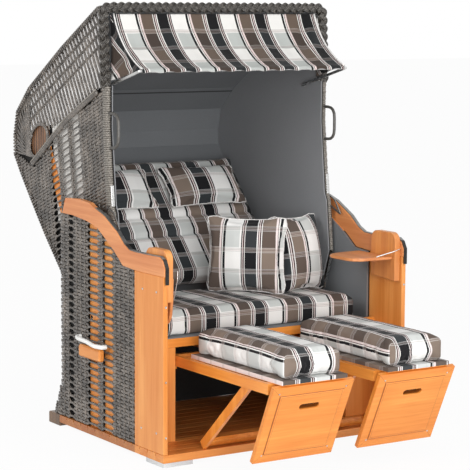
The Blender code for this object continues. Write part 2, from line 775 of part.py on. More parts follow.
def cheek_outline():
    """Rounded at its two upper corners, with a lower edge that rises a little towards the back."""
    steps = 5
    radius = CHEEK_DEPTH * CHEEK_CORNER_SHARE
    rear, top = CHEEK_FRONT + CHEEK_DEPTH, CHEEK_BOTTOM + CHEEK_HEIGHT
    outline = [(CHEEK_FRONT, CHEEK_BOTTOM)]
    for centre_y, start in ((CHEEK_FRONT + radius, math.pi), (rear - radius, math.pi / 2)):
        for i in range(steps + 1):
            angle = start - i / steps * math.pi / 2
            outline.append((centre_y + radius * math.cos(angle), top - radius + radius * math.sin(angle)))
    return outline + [(rear, CHEEK_BOTTOM + CHEEK_HEIGHT * CHEEK_REAR_RISE_SHARE)]


def build_carry_handles():
    front, rear = HANDLE_BLOCK_FRONT, HANDLE_BLOCK_FRONT + HANDLE_BLOCK_LENGTH
    low, top = HANDLE_BLOCK_BOTTOM, HANDLE_BLOCK_BOTTOM + HANDLE_BLOCK_HEIGHT
    for name, side in SIDES.items():
        x_low, x_high = mirrored(HALF + GAP, HALF + GAP + HANDLE_BLOCK_DEPTH, side)
        add_board(
            f"handle_block_{name}", (x_low, front, low), (x_high, rear, top), chair, WOOD, HANDLE_BLOCK_DEPTH / 4
        )
        grip_z = top + GRIP_RISE
        foot, knee, reach = (side * (HALF + out) for out in (GAP, GRIP_REACH * GRIP_KNEE_SHARE, GRIP_REACH))
        middle = (front + rear) / 2
        front_end = (front - GRIP_OVERHANG / 2, grip_z - GRIP_SLOPE / 2)
        rear_end = (rear + GRIP_OVERHANG, grip_z + GRIP_SLOPE / 2)
        path = rounded_path(
            [
                (foot, *front_end), (knee, *front_end), (reach, front + GRIP_OVERHANG, grip_z - GRIP_SLOPE / 3),
                (reach, middle, grip_z + GRIP_SLOPE / 3),
                (reach, rear - GRIP_OVERHANG, grip_z + GRIP_SLOPE / 2), (knee, *rear_end), (foot, *rear_end),
            ],
            GRIP_RADIUS,
            2,
        )
        add_tube(f"carry_grip_{name}", path, GRIP_RADIUS, (foot, middle, grip_z), chair, WHITE_PLASTIC)


# Hood
def hood_outline():
    """The hood's side: the shell's inner line, then the bottom and the front edge."""
    outer = [hood_point(share) for share in HOOD_BACK_SHARES]
    return inset_line(outer, SHELL_THICKNESS + GAP) + hood_front_line()


def hood_front_line():
    line = [hood_point(share) for share in HOOD_FRONT_SHARES]
    rim_lean = (RIM_TOP_SETBACK - RIM_LOW_SETBACK) / (RIM_HIGH - RIM_LOW_END)
    notch = RIM_LOW_END - RIM_RADIUS * rim_lean - GAP * 2
    line[-1] = (line[-1][0], notch)
    behind_rim_low = RIM_LOW_SETBACK + RIM_RADIUS + GAP * 2
    behind_rim_high = RIM_TOP_SETBACK + RIM_RADIUS + GAP * 2
    return line + [(behind_rim_low, notch), (behind_rim_high, RIM_HIGH - SHELL_THICKNESS)]


def build_hood_panels():
    outline = hood_outline()
    for name, side in SIDES.items():
        x_low, x_high = mirrored(HOOD_SIDE_INNER, HOOD_SIDE_OUTER, side)
        panel = add_side_plate(f"hood_side_{name}", outline, x_low, x_high, (PIVOT_Y, PIVOT_Z), hood, WICKER)
        centre = [hood_point(share) for share in TRIM_SHARES]
        band = inset_line(centre, -TRIM_WIDTH / 2) + inset_line(centre, TRIM_WIDTH / 2)[::-1]
        x_low, x_high = mirrored(HOOD_SIDE_OUTER - TRIM_PROUD, HOOD_SIDE_OUTER + TRIM_PROUD, side)
        trim = add_side_plate(f"hood_trim_{name}", band, x_low, x_high, (PIVOT_Y, PIVOT_Z), hood, WICKER)
        combine(panel, [trim], "UNION")
        hole_x = side * (HOOD_SIDE_INNER + HOOD_SIDE_OUTER) / 2
        combine(panel, [pivot_hole(f"hood_bolt_hole_{name}", hole_x)], "DIFFERENCE")
        x_low, x_high = mirrored(SIDE_LINING_INNER, SIDE_LINING_OUTER, side)
        add_side_plate(f"side_lining_{name}", outline, x_low, x_high, (PIVOT_Y, PIVOT_Z), hood, LINING)
        profile = [
            (0, FRAME_OUTER), (BOLT_RADIUS, FRAME_OUTER), (BOLT_RADIUS, FRAME_INNER - PIVOT_PLAY),
            (COLLAR_RADIUS, FRAME_INNER - PIVOT_PLAY), (COLLAR_RADIUS, HOOD_SIDE_OUTER + GAP),
            (BOLT_RADIUS, HOOD_SIDE_OUTER + GAP), (BOLT_RADIUS, HOOD_SIDE_INNER), (0, HOOD_SIDE_INNER),
        ]
        bolt = add_turned(f"pivot_bolt_{name}", profile, (0, PIVOT_Y, PIVOT_Z), hood, STEEL)
        if side < 0:
            bolt.rotation_euler.z = math.pi


def build_hood_shell():
    outer = [hood_point(share) for share in HOOD_BACK_SHARES]
    inner = inset_line(outer, SHELL_THICKNESS)
    add_side_plate(
        "hood_shell", outer + inner[::-1], -HOOD_HALF_WIDTH, HOOD_HALF_WIDTH, (PIVOT_Y, PIVOT_Z), hood, WICKER
    )
    half = SIDE_LINING_INNER - GAP
    outer = inset_line([hood_point(share) for share in HOOD_BACK_SHARES], SHELL_THICKNESS + GAP)
    back_line = [hood_point(share) for share in HOOD_BACK_SHARES]
    inner = inset_line(back_line, SHELL_THICKNESS + GAP + LINING_THICKNESS)
    add_side_plate("back_lining", outer + inner[::-1], -half, half, (PIVOT_Y, PIVOT_Z), hood, LINING)


def build_hood_rim():
    x = HOOD_HALF_WIDTH - RIM_RADIUS / 2
    path = rounded_path(
        [
            (-x, RIM_LOW_SETBACK, RIM_LOW_END), (-x, RIM_TOP_SETBACK, RIM_HIGH),
            (x, RIM_TOP_SETBACK, RIM_HIGH), (x, RIM_LOW_SETBACK, RIM_LOW_END),
        ],
        RIM_RADIUS * 2,
        5,
    )
    add_tube("hood_rim", path, RIM_RADIUS, (0, RIM_TOP_SETBACK, RIM_HIGH), hood, WICKER)


def front_edge_at(z):
    """Where the hood's front edge lies at a height."""
    line = hood_front_line()
    for (y0, z0), (y1, z1) in zip(line, line[1:]):
        if z0 <= z <= z1:
            return y0 + (y1 - y0) * (z - z0) / (z1 - z0)
    return HOOD_FRONT


def build_hood_handles():
    low, high = HOOD_HANDLE_BOTTOM, HOOD_HANDLE_BOTTOM + HOOD_HANDLE_LENGTH
    third = HOOD_HANDLE_LENGTH / 3
    for name, side in SIDES.items():
        x = side * (HOOD_SIDE_INNER + HOOD_SIDE_OUTER) / 2
        y = front_edge_at(low)
        foot_low = (x, front_edge_at(low - HOOD_HANDLE_RADIUS) - GAP * 2, low)
        foot_high = (x, front_edge_at(high - HOOD_HANDLE_RADIUS) - GAP * 2, high)
        reach = y - HOOD_HANDLE_REACH
        path = rounded_path([foot_low, (x, reach, low), (x, reach, high), foot_high], third)
        add_tube(f"hood_handle_{name}", path, HOOD_HANDLE_RADIUS, (x, y, low), hood, WICKER)


def latch_point(along, up):
    """A place on a bail in chair y and z, from its pivot: forward along it, and up square to it."""
    slope = math.radians(LATCH_SLOPE)
    return (
        LATCH_Y - along * math.cos(slope) - up * math.sin(slope),
        LATCH_Z + along * math.sin(slope) + up * math.cos(slope),
    )


def build_latches():
    """Steel bails that swing beside the armrests' strips, each on a boss at the hood's side."""
    rear, front = (LATCH_LENGTH * share for share in LATCH_CORNER_SHARES)
    outline = [
        (-LATCH_BAR, -LATCH_BAR), (LATCH_LENGTH, -LATCH_BAR), (LATCH_LENGTH + LATCH_BAR, 0),
        (front, LATCH_HEIGHT), (rear, LATCH_HEIGHT), (-LATCH_BAR, LATCH_BAR),
    ]
    outer = [latch_point(*corner) for corner in outline]
    rear, front = (LATCH_LENGTH * share for share in LATCH_HOLE_SHARES)
    inside = [
        (LATCH_BAR, LATCH_BAR), (rear, LATCH_HEIGHT - LATCH_BAR), (front, LATCH_HEIGHT - LATCH_BAR),
        (LATCH_LENGTH - LATCH_BAR, LATCH_BAR / 2), (LATCH_LENGTH - LATCH_BAR, LATCH_BAR / 3), (LATCH_BAR, 0),
    ]
    hole = [latch_point(*corner) for corner in inside]
    for name, side in SIDES.items():
        pivot = add_empty(f"latch_pivot_{name}", (0, LATCH_Y, LATCH_Z), hood)
        inner = HOOD_SIDE_OUTER + LATCH_THICKNESS
        x_low, x_high = mirrored(inner, inner + LATCH_THICKNESS, side)
        bail = add_side_plate(f"latch_{name}", outer, x_low, x_high, (LATCH_Y, LATCH_Z), pivot, STEEL)
        x_cut = mirrored(inner - CUT_OVERRUN, inner + CUT_OVERRUN, side)
        cutter = add_side_plate(f"latch_hole_{name}", hole, *x_cut, (LATCH_Y, LATCH_Z), pivot, STEEL)
        combine(bail, [cutter], "DIFFERENCE")
        boss_length = LATCH_THICKNESS * 1.5 - GAP
        bm = bmesh.new()
        bmesh.ops.create_cone(
            bm, cap_ends=True, segments=12, radius1=LATCH_BOSS_RADIUS, radius2=LATCH_BOSS_RADIUS,
            depth=boss_length,
        )
        bmesh.ops.rotate(bm, matrix=Matrix.Rotation(math.pi / 2, 3, "Y"), verts=bm.verts)
        boss_x = side * (HOOD_SIDE_OUTER + GAP + boss_length / 2)
        mesh = mesh_from("latch_boss", bm)
        boss = add_object(f"latch_boss_{name}", mesh, (boss_x, LATCH_Y, LATCH_Z), pivot, STEEL)
        combine(bail, [boss], "UNION")


# Awning
def build_awning():
    bow = SIDE_LINING_INNER - BOW_SIDE_CLEARANCE
    wall = SIDE_LINING_INNER - PIVOT_PLAY
    bend = BOW_RADIUS * 2
    path = rounded_path(
        [
            (-wall, AWNING_PIVOT_Y, AWNING_PIVOT_Z), (-bow, AWNING_PIVOT_Y, AWNING_PIVOT_Z),
            (-bow, AWNING_BAR_Y, AWNING_BAR_Z), (bow, AWNING_BAR_Y, AWNING_BAR_Z),
            (bow, AWNING_PIVOT_Y, AWNING_PIVOT_Z), (wall, AWNING_PIVOT_Y, AWNING_PIVOT_Z),
        ],
        bend / 2,
        3,
    )
    origin = (0, AWNING_PIVOT_Y, AWNING_PIVOT_Z)
    add_tube("awning_bow", path, BOW_RADIUS, origin, awning, BRIGHT_STEEL)
    half = bow - CLOTH_EDGE_CLEARANCE
    top = Vector((0, RIM_TOP_SETBACK, RIM_HIGH - RIM_RADIUS - GAP - CLOTH_THICKNESS / 2))
    hem = Vector((0, AWNING_BAR_Y, AWNING_BAR_Z + BOW_RADIUS + GAP + CLOTH_THICKNESS / 2))
    across, down = 12, 6
    bm = bmesh.new()
    bmesh.ops.create_grid(bm, x_segments=across, y_segments=down, size=1)
    normal = Vector((0, hem.z - top.z, top.y - hem.y)).normalized()
    for vert in bm.verts:
        u, v = vert.co.x, (1 - vert.co.y) / 2
        belly = -CLOTH_SAG * 4 * v * (1 - v) * (1 - CLOTH_EDGE_SAG_SHARE * u**6)
        scallop = CLOTH_SAG * CLOTH_SCALLOP_SHARE * v * math.cos(across * math.pi * u / 2)
        vert.co = top.lerp(hem, v) + Vector((u * half, 0, 0)) + normal * (belly + scallop * (1 - v))
    mesh = mesh_from("awning_cloth", bm)
    mesh.transform(Matrix.Translation(-top))
    cloth = add_object("awning_cloth", mesh, top, hood, CHECK_CLOTH)
    wall = cloth.modifiers.new("cloth_wall", "SOLIDIFY")
    wall.thickness = CLOTH_THICKNESS
    wall.offset = 0


# Tables
def table_outline(side):
    """A half-round board: straight along its hinge and full at its middle."""
    hinge_x = CHEEK_INNER - TABLE_HINGE_GAP
    steps = 16
    squareness, fullness = TABLE_ROUND_SHARES
    outline = []
    for i in range(steps + 1):
        along = (1 - math.cos(math.pi * i / steps)) / 2
        bulge = (1 - abs(2 * along - 1) ** squareness) ** fullness
        outline.append((side * (hinge_x - TABLE_REACH * bulge), TABLE_FRONT + along * TABLE_LENGTH))
    return outline


def build_tables():
    hinge_x = CHEEK_INNER - TABLE_HINGE_GAP
    hinge_z = TABLE_TOP - TABLE_THICKNESS
    foot_x, knee_x, head_x = hinge_x - STAY_INSET, CHEEK_INNER - 2 * STAY_RADIUS, CHEEK_OUTER - STAY_RADIUS
    foot_y, head_y = TABLE_FRONT + STAY_FRONT, CHEEK_FRONT - STAY_RADIUS - GAP
    foot_z = TABLE_TOP + STAY_RADIUS + GAP
    knee_z = foot_z + STAY_RISE * (knee_x - foot_x) / (head_x - foot_x)
    for name, side in SIDES.items():
        hinge = add_empty(f"table_hinge_{name}", (side * hinge_x, 0, hinge_z), chair)
        origin = (side * hinge_x, 0, hinge_z)
        table = add_flat_plate(
            f"table_{name}", table_outline(side), hinge_z, TABLE_TOP, origin, hinge, WOOD
        )
        soften(table, ROUNDED_EDGE)
        foot, knee = (side * foot_x, foot_y, foot_z), (side * knee_x, head_y, knee_z)
        head = (side * head_x, head_y, foot_z + STAY_RISE)
        stay_hinge = add_empty(f"stay_hinge_{name}", foot, hinge)
        add_tube(f"table_stay_{name}", [foot, knee, head], STAY_RADIUS, foot, stay_hinge, BRIGHT_STEEL)
        if side < 0:
            hinge.rotation_euler.y = math.pi / 2
            stay_hinge.rotation_euler.y = -math.radians(STAY_FOLD)


build_armrests()
build_carry_handles()
build_hood_panels()
build_hood_shell()
build_hood_rim()
build_hood_handles()
build_latches()
build_awning()
build_tables()


# Footrests
def build_footrest(name, side):
    slide = add_empty(f"footrest_slide_{name}", (0, 0, 0), chair)
    inner_rail, outer_rail = rail_places()
    rail_low = RAIL_TOP - RAIL_HEIGHT
    rails = []
    for i, x in enumerate((inner_rail, outer_rail)):
        x_low, x_high = mirrored(x, x + RAIL_THICKNESS, side)
        rails.append(
            add_board(
                f"footrest_rail_{name}_{i}", (x_low, RAIL_FRONT, rail_low),
                (x_high, RAIL_REAR, RAIL_TOP), slide, WOOD,
            )
        )
    x_low, x_high = mirrored(inner_rail, outer_rail + RAIL_THICKNESS, side)
    cross = add_board(
        f"footrest_cross_{name}", (x_low, RAIL_REAR - RAIL_HEIGHT, rail_low + GAP),
        (x_high, RAIL_REAR - RAIL_THICKNESS, RAIL_TOP - GAP), slide, WOOD,
    )
    board_top = RAIL_TOP - GAP + FOOT_BOARD_THICKNESS
    x_low, x_high = mirrored(PANEL_INNER + FOOT_BOARD_INSET, PANEL_INNER + PANEL_WIDTH - FOOT_BOARD_INSET, side)
    plate = add_board(
        f"footrest_frame_{name}", (x_low, PANEL_FRONT, RAIL_TOP - GAP),
        (x_high, FOOT_BOARD_REAR, board_top), slide, WOOD,
    )
    ties = []
    x_low, x_high = mirrored(inner_rail, outer_rail + RAIL_THICKNESS, side)
    for i, y in enumerate((RAIL_FRONT + GAP, FOOT_BOARD_REAR - LEG_TIE_WIDTH)):
        ties.append(
            add_board(
                f"footrest_tie_{name}_{i}", (x_low, y, RAIL_TOP - RAIL_HEIGHT / 3),
                (x_high, y + LEG_TIE_WIDTH, RAIL_TOP + GAP), slide, WOOD,
            )
        )
    combine(plate, ties + rails + [cross], "UNION")
    build_panel(name, side, slide)
    build_legs(name, side, slide)


def build_panel(name, side, slide):
    """The front board, hinged at its upper rear edge, with a raised field and a finger slot."""
    front, rear = PANEL_FRONT, PANEL_FRONT + PANEL_THICKNESS
    top = RAIL_TOP - GAP * 2
    hinge = add_empty(f"panel_hinge_{name}", (0, rear, top), slide)
    x_low, x_high = mirrored(PANEL_INNER, PANEL_INNER + PANEL_WIDTH, side)
    panel = add_board(
        f"footrest_panel_{name}", (x_low, front, top - PANEL_HEIGHT), (x_high, rear, top),
        hinge, WOOD, PANEL_EDGE,
    )
    field = add_board(
        f"panel_field_{name}",
        (x_low + PANEL_BORDER, front - PANEL_FIELD_PROUD, top - PANEL_HEIGHT + PANEL_BORDER),
        (x_high - PANEL_BORDER, front + PANEL_FIELD_PROUD, top - PANEL_BORDER), hinge, WOOD,
        PANEL_FIELD_PROUD - GAP,
    )
    combine(panel, [field], "UNION")
    middle = (x_low + x_high) / 2
    slot = add_board(
        f"finger_slot_{name}", (middle - SLOT_LENGTH / 2, front - CUT_OVERRUN, top - SLOT_DROP - SLOT_HEIGHT),
        (middle + SLOT_LENGTH / 2, rear + CUT_OVERRUN, top - SLOT_DROP), hinge, WOOD,
    )
    ends = slot.modifiers.new("round_ends", "BEVEL")
    ends.width = SLOT_HEIGHT / 2 - GAP
    ends.segments = 4
    ends.limit_method = "WEIGHT"
    weights = slot.data.attributes.new("bevel_weight_edge", "FLOAT", "EDGE")
    for edge in slot.data.edges:
        a, b = (slot.data.vertices[i].co for i in edge.vertices)
        weights.data[edge.index].value = float(abs(a.y - b.y) > PANEL_THICKNESS)
    combine(panel, [slot], "DIFFERENCE")
    hinge.rotation_euler.x = math.radians(PANEL_TILT)


def build_legs(name, side, slide):
    """Two bars tied across, hinged on the rails' inner faces, standing on the front of the floor boards."""
    hinge = add_empty(f"leg_hinge_{name}", (0, LEG_PIVOT_Y, LEG_PIVOT_Z), slide)
    inner_rail, outer_rail = rail_places()
    toe_z = FLOOR_TOP + GAP + LEG_TOE_CLEARANCE
    run = Vector((LEG_TOE_Y - LEG_PIVOT_Y, toe_z - LEG_PIVOT_Z))
    length = run.length
    rear_reach = LEG_WIDTH / 2
    low = inner_rail + RAIL_THICKNESS + LEG_SIDE_CLEARANCE
    high = outer_rail - LEG_SIDE_CLEARANCE
    bars = []
    for i, x in enumerate((low, high - LEG_THICKNESS)):
        x_low, x_high = mirrored(x, x + LEG_THICKNESS, side)
        bars.append(
            add_board(
                f"leg_bar_{name}_{i}", (x_low, LEG_PIVOT_Y - rear_reach, LEG_PIVOT_Z - LEG_WIDTH / 2),
                (x_high, LEG_PIVOT_Y + length, LEG_PIVOT_Z + LEG_WIDTH / 2), hinge, WOOD,
            )
        )
    x_low, x_high = mirrored(low, high, side)
    tie = add_board(
        f"footrest_leg_{name}", (x_low, LEG_PIVOT_Y + length - LEG_TIE_WIDTH, LEG_PIVOT_Z - LEG_THICKNESS / 2),
        (x_high, LEG_PIVOT_Y + length - GAP, LEG_PIVOT_Z + LEG_THICKNESS / 2), hinge, WOOD,
    )
    combine(tie, bars, "UNION")
    hinge.rotation_euler.x = math.atan2(run.y, run.x)


for side_name, side_sign in SIDES.items():
    build_footrest(side_name, side_sign)


# Cushions and pillows
def upright(centre, turn=0.0, lean=0.0):
    """A cage that lies flat is placed at the centre, turned about z and leant back by this angle from flat."""
    return (
        Matrix.Translation(centre)
        @ Matrix.Rotation(math.radians(turn), 4, "Z")
        @ Matrix.Rotation(math.radians(lean), 4, "X")
    )


def build_cushions():
    low = BENCH_TOP + GAP
    size = (2 * SEAT_CUSHION_HALF, SEAT_CUSHION_REAR - FRONT_SETBACK, SEAT_CUSHION_TOP - low)
    centre = (0, FRONT_SETBACK + size[1] / 2, low + size[2] / 2)
    cage = cushion_cage(size, 3, *SEAT_SHAPE_SHARES)
    seat = add_soft("seat_cushion", cage, upright(centre), chair, CHECK_CLOTH)
    settle(seat, "bench_board", (0, 0, -1))
    low_back, high_back = Vector(hood_point(HOOD_BACK_SHARES[-1])), Vector(hood_point(HOOD_BACK_SHARES[-4]))
    rise = high_back - low_back
    lean = math.atan2(rise.y, rise.x) + math.radians(BACK_LEAN)
    lean_degrees = math.degrees(lean)
    along, out = Vector((0, math.cos(lean), math.sin(lean))), Vector((0, -math.sin(lean), math.cos(lean)))
    foot = Vector((0, *hood_point(BACK_FOOT_SHARES)))
    size = (2 * BACK_CUSHION_HALF, BACK_LENGTH, BACK_THICKNESS)
    cage = cushion_cage(size, 4, *BACK_SHAPE_SHARES)
    middle = foot + along * BACK_LENGTH / 2 - out * BACK_THICKNESS / 2
    back = add_soft("back_cushion", cage, upright(middle, 0, lean_degrees), hood, CHECK_CLOTH)
    settle(back, "back_lining", -out)
    for name, side in SIDES.items():
        size = (HEADREST_WIDTH, HEADREST_HEIGHT, HEADREST_THICKNESS)
        centre = foot + along * HEADREST_RISE + out * (HEADREST_THICKNESS / 2 + HEADREST_GAP)
        centre.x = side * HEADREST_CENTRE
        cage = pillow_cage(size, 3, HEADREST_DRAW_IN_SHARE)
        headrest = add_soft(f"headrest_{name}", cage, upright(centre, 0, lean_degrees), hood, CHECK_CLOTH)
        settle(headrest, "back_cushion", -out)
        x = side * (PANEL_INNER + PANEL_WIDTH / 2)
        size = (FOOT_CUSHION_WIDTH, FOOT_CUSHION_LENGTH, FOOT_CUSHION_THICKNESS)
        low = RAIL_TOP + FOOT_BOARD_THICKNESS
        centre = (x, FOOT_CUSHION_FRONT + size[1] / 2, low + size[2] / 2)
        slide = bpy.data.objects[f"footrest_slide_{name}"]
        cage = cushion_cage(size, 3, *FOOT_SHAPE_SHARES)
        cushion = add_soft(f"footrest_cushion_{name}", cage, upright(centre), slide, CHECK_CLOTH)
        settle(cushion, f"footrest_frame_{name}", (0, 0, -1))
    left_place = (LEFT_PILLOW_X, LEFT_PILLOW_Y)
    right_place = (RIGHT_PILLOW_X, RIGHT_PILLOW_Y)
    add_loose_pillow("left", LEFT_PILLOW_WIDTH, *left_place, LEFT_PILLOW_TURN, LEFT_PILLOW_LEAN)
    add_loose_pillow("right", RIGHT_PILLOW_WIDTH, *right_place, RIGHT_PILLOW_TURN, RIGHT_PILLOW_LEAN)


def add_loose_pillow(name, width, x, y, turn, lean):
    """A pillow standing on the seat cushion on its lower seam."""
    rise = math.sin(math.radians(lean)) * PILLOW_HEIGHT / 2
    seam = math.cos(math.radians(lean)) * PILLOW_THICKNESS / 4
    centre = (x, y, SEAT_CUSHION_TOP + GAP + rise + seam)
    cage = pillow_cage((width, PILLOW_HEIGHT, PILLOW_THICKNESS), 3, PILLOW_DRAW_IN_SHARE)
    pillow = add_soft(f"loose_pillow_{name}", cage, upright(centre, turn, lean), chair, CHECK_CLOTH)
    settle(pillow, "seat_cushion", (0, 0, -1))


build_cushions()
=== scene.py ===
import math

import bpy
import numpy as np
from mathutils import Matrix, Vector


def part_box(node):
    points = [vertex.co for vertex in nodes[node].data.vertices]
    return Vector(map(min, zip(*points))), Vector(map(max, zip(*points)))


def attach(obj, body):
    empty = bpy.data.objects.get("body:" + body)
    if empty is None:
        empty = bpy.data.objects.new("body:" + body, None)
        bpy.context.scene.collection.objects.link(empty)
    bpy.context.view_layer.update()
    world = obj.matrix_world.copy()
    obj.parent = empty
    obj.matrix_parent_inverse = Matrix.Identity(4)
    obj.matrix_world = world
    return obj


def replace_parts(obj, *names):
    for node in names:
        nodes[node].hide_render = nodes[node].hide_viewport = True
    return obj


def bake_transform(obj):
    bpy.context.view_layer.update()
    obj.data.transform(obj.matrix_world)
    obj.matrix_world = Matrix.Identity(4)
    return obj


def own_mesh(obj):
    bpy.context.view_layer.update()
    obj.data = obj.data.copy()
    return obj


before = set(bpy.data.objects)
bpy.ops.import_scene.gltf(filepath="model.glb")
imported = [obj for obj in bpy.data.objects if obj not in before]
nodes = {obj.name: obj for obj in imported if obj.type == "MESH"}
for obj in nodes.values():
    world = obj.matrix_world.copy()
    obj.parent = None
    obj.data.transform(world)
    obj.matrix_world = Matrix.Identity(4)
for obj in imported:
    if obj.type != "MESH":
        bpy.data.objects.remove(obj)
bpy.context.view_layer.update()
SIDES = {"left": -1, "right": 1}

# Camera and studio
# The camera stands where the photograph's did: in front of the chair's left corner, level with its roof.
# A white floor and a white sky, with three soft lamps, light the chair plainly.
YAW, PITCH, ROLL = math.radians(32.953), math.radians(7.029), math.radians(0.271)
CAMERA_PLACE = Vector((-3.9569, -6.12405, 1.6755))
LENS, SENSOR = 143.77, 36.0

forward = Vector((math.sin(YAW) * math.cos(PITCH), math.cos(YAW) * math.cos(PITCH), -math.sin(PITCH)))
level_right = Vector((math.cos(YAW), -math.sin(YAW), 0))
level_up = level_right.cross(forward)
camera_right = level_right * math.cos(ROLL) + level_up * math.sin(ROLL)
camera_up = level_up * math.cos(ROLL) - level_right * math.sin(ROLL)
bpy.ops.object.camera_add(location=CAMERA_PLACE)
camera = bpy.context.object
turn = Matrix((camera_right, camera_up, -forward)).transposed().to_4x4()
camera.matrix_world = Matrix.Translation(CAMERA_PLACE) @ turn
camera.data.lens, camera.data.sensor_width = LENS, SENSOR
bpy.context.scene.camera = camera
bpy.context.scene.view_settings.view_transform = "Standard"


class Wire:
    """A shader socket that can be used in sums: each sum adds its Math node to the finish."""

    def __init__(self, finish, socket):
        self.finish, self.socket = finish, socket

    def maths(self, operation, *values):
        return self.finish.add("ShaderNodeMath", {"operation": operation}, dict(enumerate(values)))

    def __rsub__(self, other):
        return self.maths("SUBTRACT", other, self)


for method, operation in {
    "__add__": "ADD", "__radd__": "ADD", "__sub__": "SUBTRACT", "__mul__": "MULTIPLY", "__rmul__": "MULTIPLY",
    "__truediv__": "DIVIDE", "__mod__": "FLOORED_MODULO", "__gt__": "GREATER_THAN", "__lt__": "LESS_THAN",
    "__abs__": "ABSOLUTE", "floor": "FLOOR", "sine": "SINE",
}.items():
    setattr(Wire, method, lambda *values, operation=operation: values[0].maths(operation, *values))


class Nodes:
    """A tree of shader nodes under way."""

    def __init__(self, tree):
        self.tree = tree

    def add(self, kind, settings=None, sockets=None, out=0):
        node = self.tree.nodes.new(kind)
        for name, value in (settings or {}).items():
            if name == "stops":
                while len(node.color_ramp.elements) < len(value):
                    node.color_ramp.elements.new(0.5)
                for element, (place, colour) in zip(node.color_ramp.elements, value):
                    element.position, element.color = place, (*colour, 1)
            elif name == "interpolation":
                node.color_ramp.interpolation = value
            else:
                setattr(node, name, value)
        self.join(node, sockets or {})
        return Wire(self, node.outputs[out] if node.outputs else None)

    def join(self, node, sockets):
        for name, value in sockets.items():
            if isinstance(value, Wire):
                self.tree.links.new(value.socket, node.inputs[name])
            else:
                node.inputs[name].default_value = value

    def seen(self):
        """1 where a surface is seen straight, in gloss or through glass, and 0 for the light it gives."""
        rays = self.add("ShaderNodeLightPath").socket.node.outputs
        kinds = ("Camera", "Glossy", "Transmission")
        straight, gloss, glass = (Wire(self, rays[f"Is {kind} Ray"]) for kind in kinds)
        return glass.maths("MAXIMUM", gloss.maths("MAXIMUM", straight, gloss), glass)


class Finish(Nodes):
    """A material under way, whose shader's sockets are set or fed."""

    def __init__(self, name, roughness, metallic=0.0, **constants):
        self.material = bpy.data.materials.new(name)
        self.material.use_nodes = True
        super().__init__(self.material.node_tree)
        self.shader = self.tree.nodes["Principled BSDF"]
        self.feed(Roughness=roughness, Metallic=metallic, **constants)

    def feed(self, **sockets):
        self.join(self.shader, {name.replace("_", " "): value for name, value in sockets.items()})

    def place(self):
        return self.add("ShaderNodeTexCoord", out="Object")

    def axes(self, vector=None):
        split = self.add("ShaderNodeSeparateXYZ", {}, {0: vector or self.place()})
        return [Wire(self, split.socket.node.outputs[i]) for i in range(3)]

    def stretched(self, vector, scale, shift=(0, 0, 0), rotation=(0, 0, 0)):
        sockets = {"Vector": vector, "Location": shift, "Rotation": rotation, "Scale": scale}
        return self.add("ShaderNodeMapping", {}, sockets)

    def noise(self, vector, scale=1.0, detail=3.0, roughness=0.5):
        sockets = {"Vector": vector, "Scale": scale, "Detail": detail, "Roughness": roughness}
        return self.add("ShaderNodeTexNoise", {}, sockets)

    def ramp(self, value, stops, interpolation="LINEAR"):
        return self.add("ShaderNodeValToRGB", {"stops": stops, "interpolation": interpolation}, {0: value})

    def tones(self, value, seen, places=(0.3, 0.7)):
        """A ramp through colours as they are seen, the darkest first."""
        return self.ramp(value, [(place, colour(*tone)) for place, tone in zip(places, seen)])

    def mix(self, share, one, other, blend="MIX"):
        settings = {"data_type": "RGBA", "blend_type": blend}
        return self.add("ShaderNodeMix", settings, {0: share, 6: one, 7: other}, 2)

    def bump(self, height, distance, strength=1.0):
        sockets = {"Height": height, "Distance": distance, "Strength": strength}
        self.feed(Normal=self.add("ShaderNodeBump", {}, sockets))


def colour(red, green, blue):
    """A colour as it is seen, from 0 to 1, as the light that a shader works with."""
    return tuple(c / 12.92 if c <= 0.04045 else ((c + 0.055) / 1.055) ** 2.4 for c in (red, green, blue))


def rgba(*seen):
    return (*colour(*seen), 1)


def only(obj):
    """Selects this object alone and makes it active."""
    bpy.ops.object.select_all(action="DESELECT")
    obj.select_set(True)
    bpy.context.view_layer.objects.active = obj


def paint(obj, finish):
    obj.data.materials.clear()
    obj.data.materials.append(finish.material)


FLOOR_SIZE, FLOOR_DROP, FLOOR_GLOW, SKY_LIGHT, LAMP_AIM = 80.0, 0.0005, 0.94, 0.62, Vector((0, 0, 0.8))
only(camera)
bpy.ops.mesh.primitive_plane_add(size=FLOOR_SIZE, location=(0, 0, -FLOOR_DROP))
floor = bpy.context.object
floor.name = "studio_floor"
floor_finish = Finish("studio_floor", 0.9, Base_Color=rgba(0.93, 0.93, 0.93))
glow = floor_finish.add("ShaderNodeEmission", {}, {"Color": rgba(1, 1, 1), "Strength": 1.0})
lit = Wire(floor_finish, floor_finish.shader.outputs[0])
glowing = floor_finish.seen() * FLOOR_GLOW
floor_mix = floor_finish.add("ShaderNodeMixShader", {}, {0: glowing, 1: lit, 2: glow})
floor_finish.join(floor_finish.tree.nodes["Material Output"], {"Surface": floor_mix})
paint(floor, floor_finish)

world = bpy.data.worlds.new("studio_sky")
bpy.context.scene.world = world
world.use_nodes = True
sky = Nodes(world.node_tree)
sky.tree.nodes.clear()
strength = sky.add("ShaderNodeMapRange", {}, {"Value": sky.seen(), "To Min": SKY_LIGHT, "To Max": 1.0})
sky_light = sky.add("ShaderNodeBackground", {}, {"Color": (1, 1, 1, 1), "Strength": strength})
sky.add("ShaderNodeOutputWorld", {}, {"Surface": sky_light})

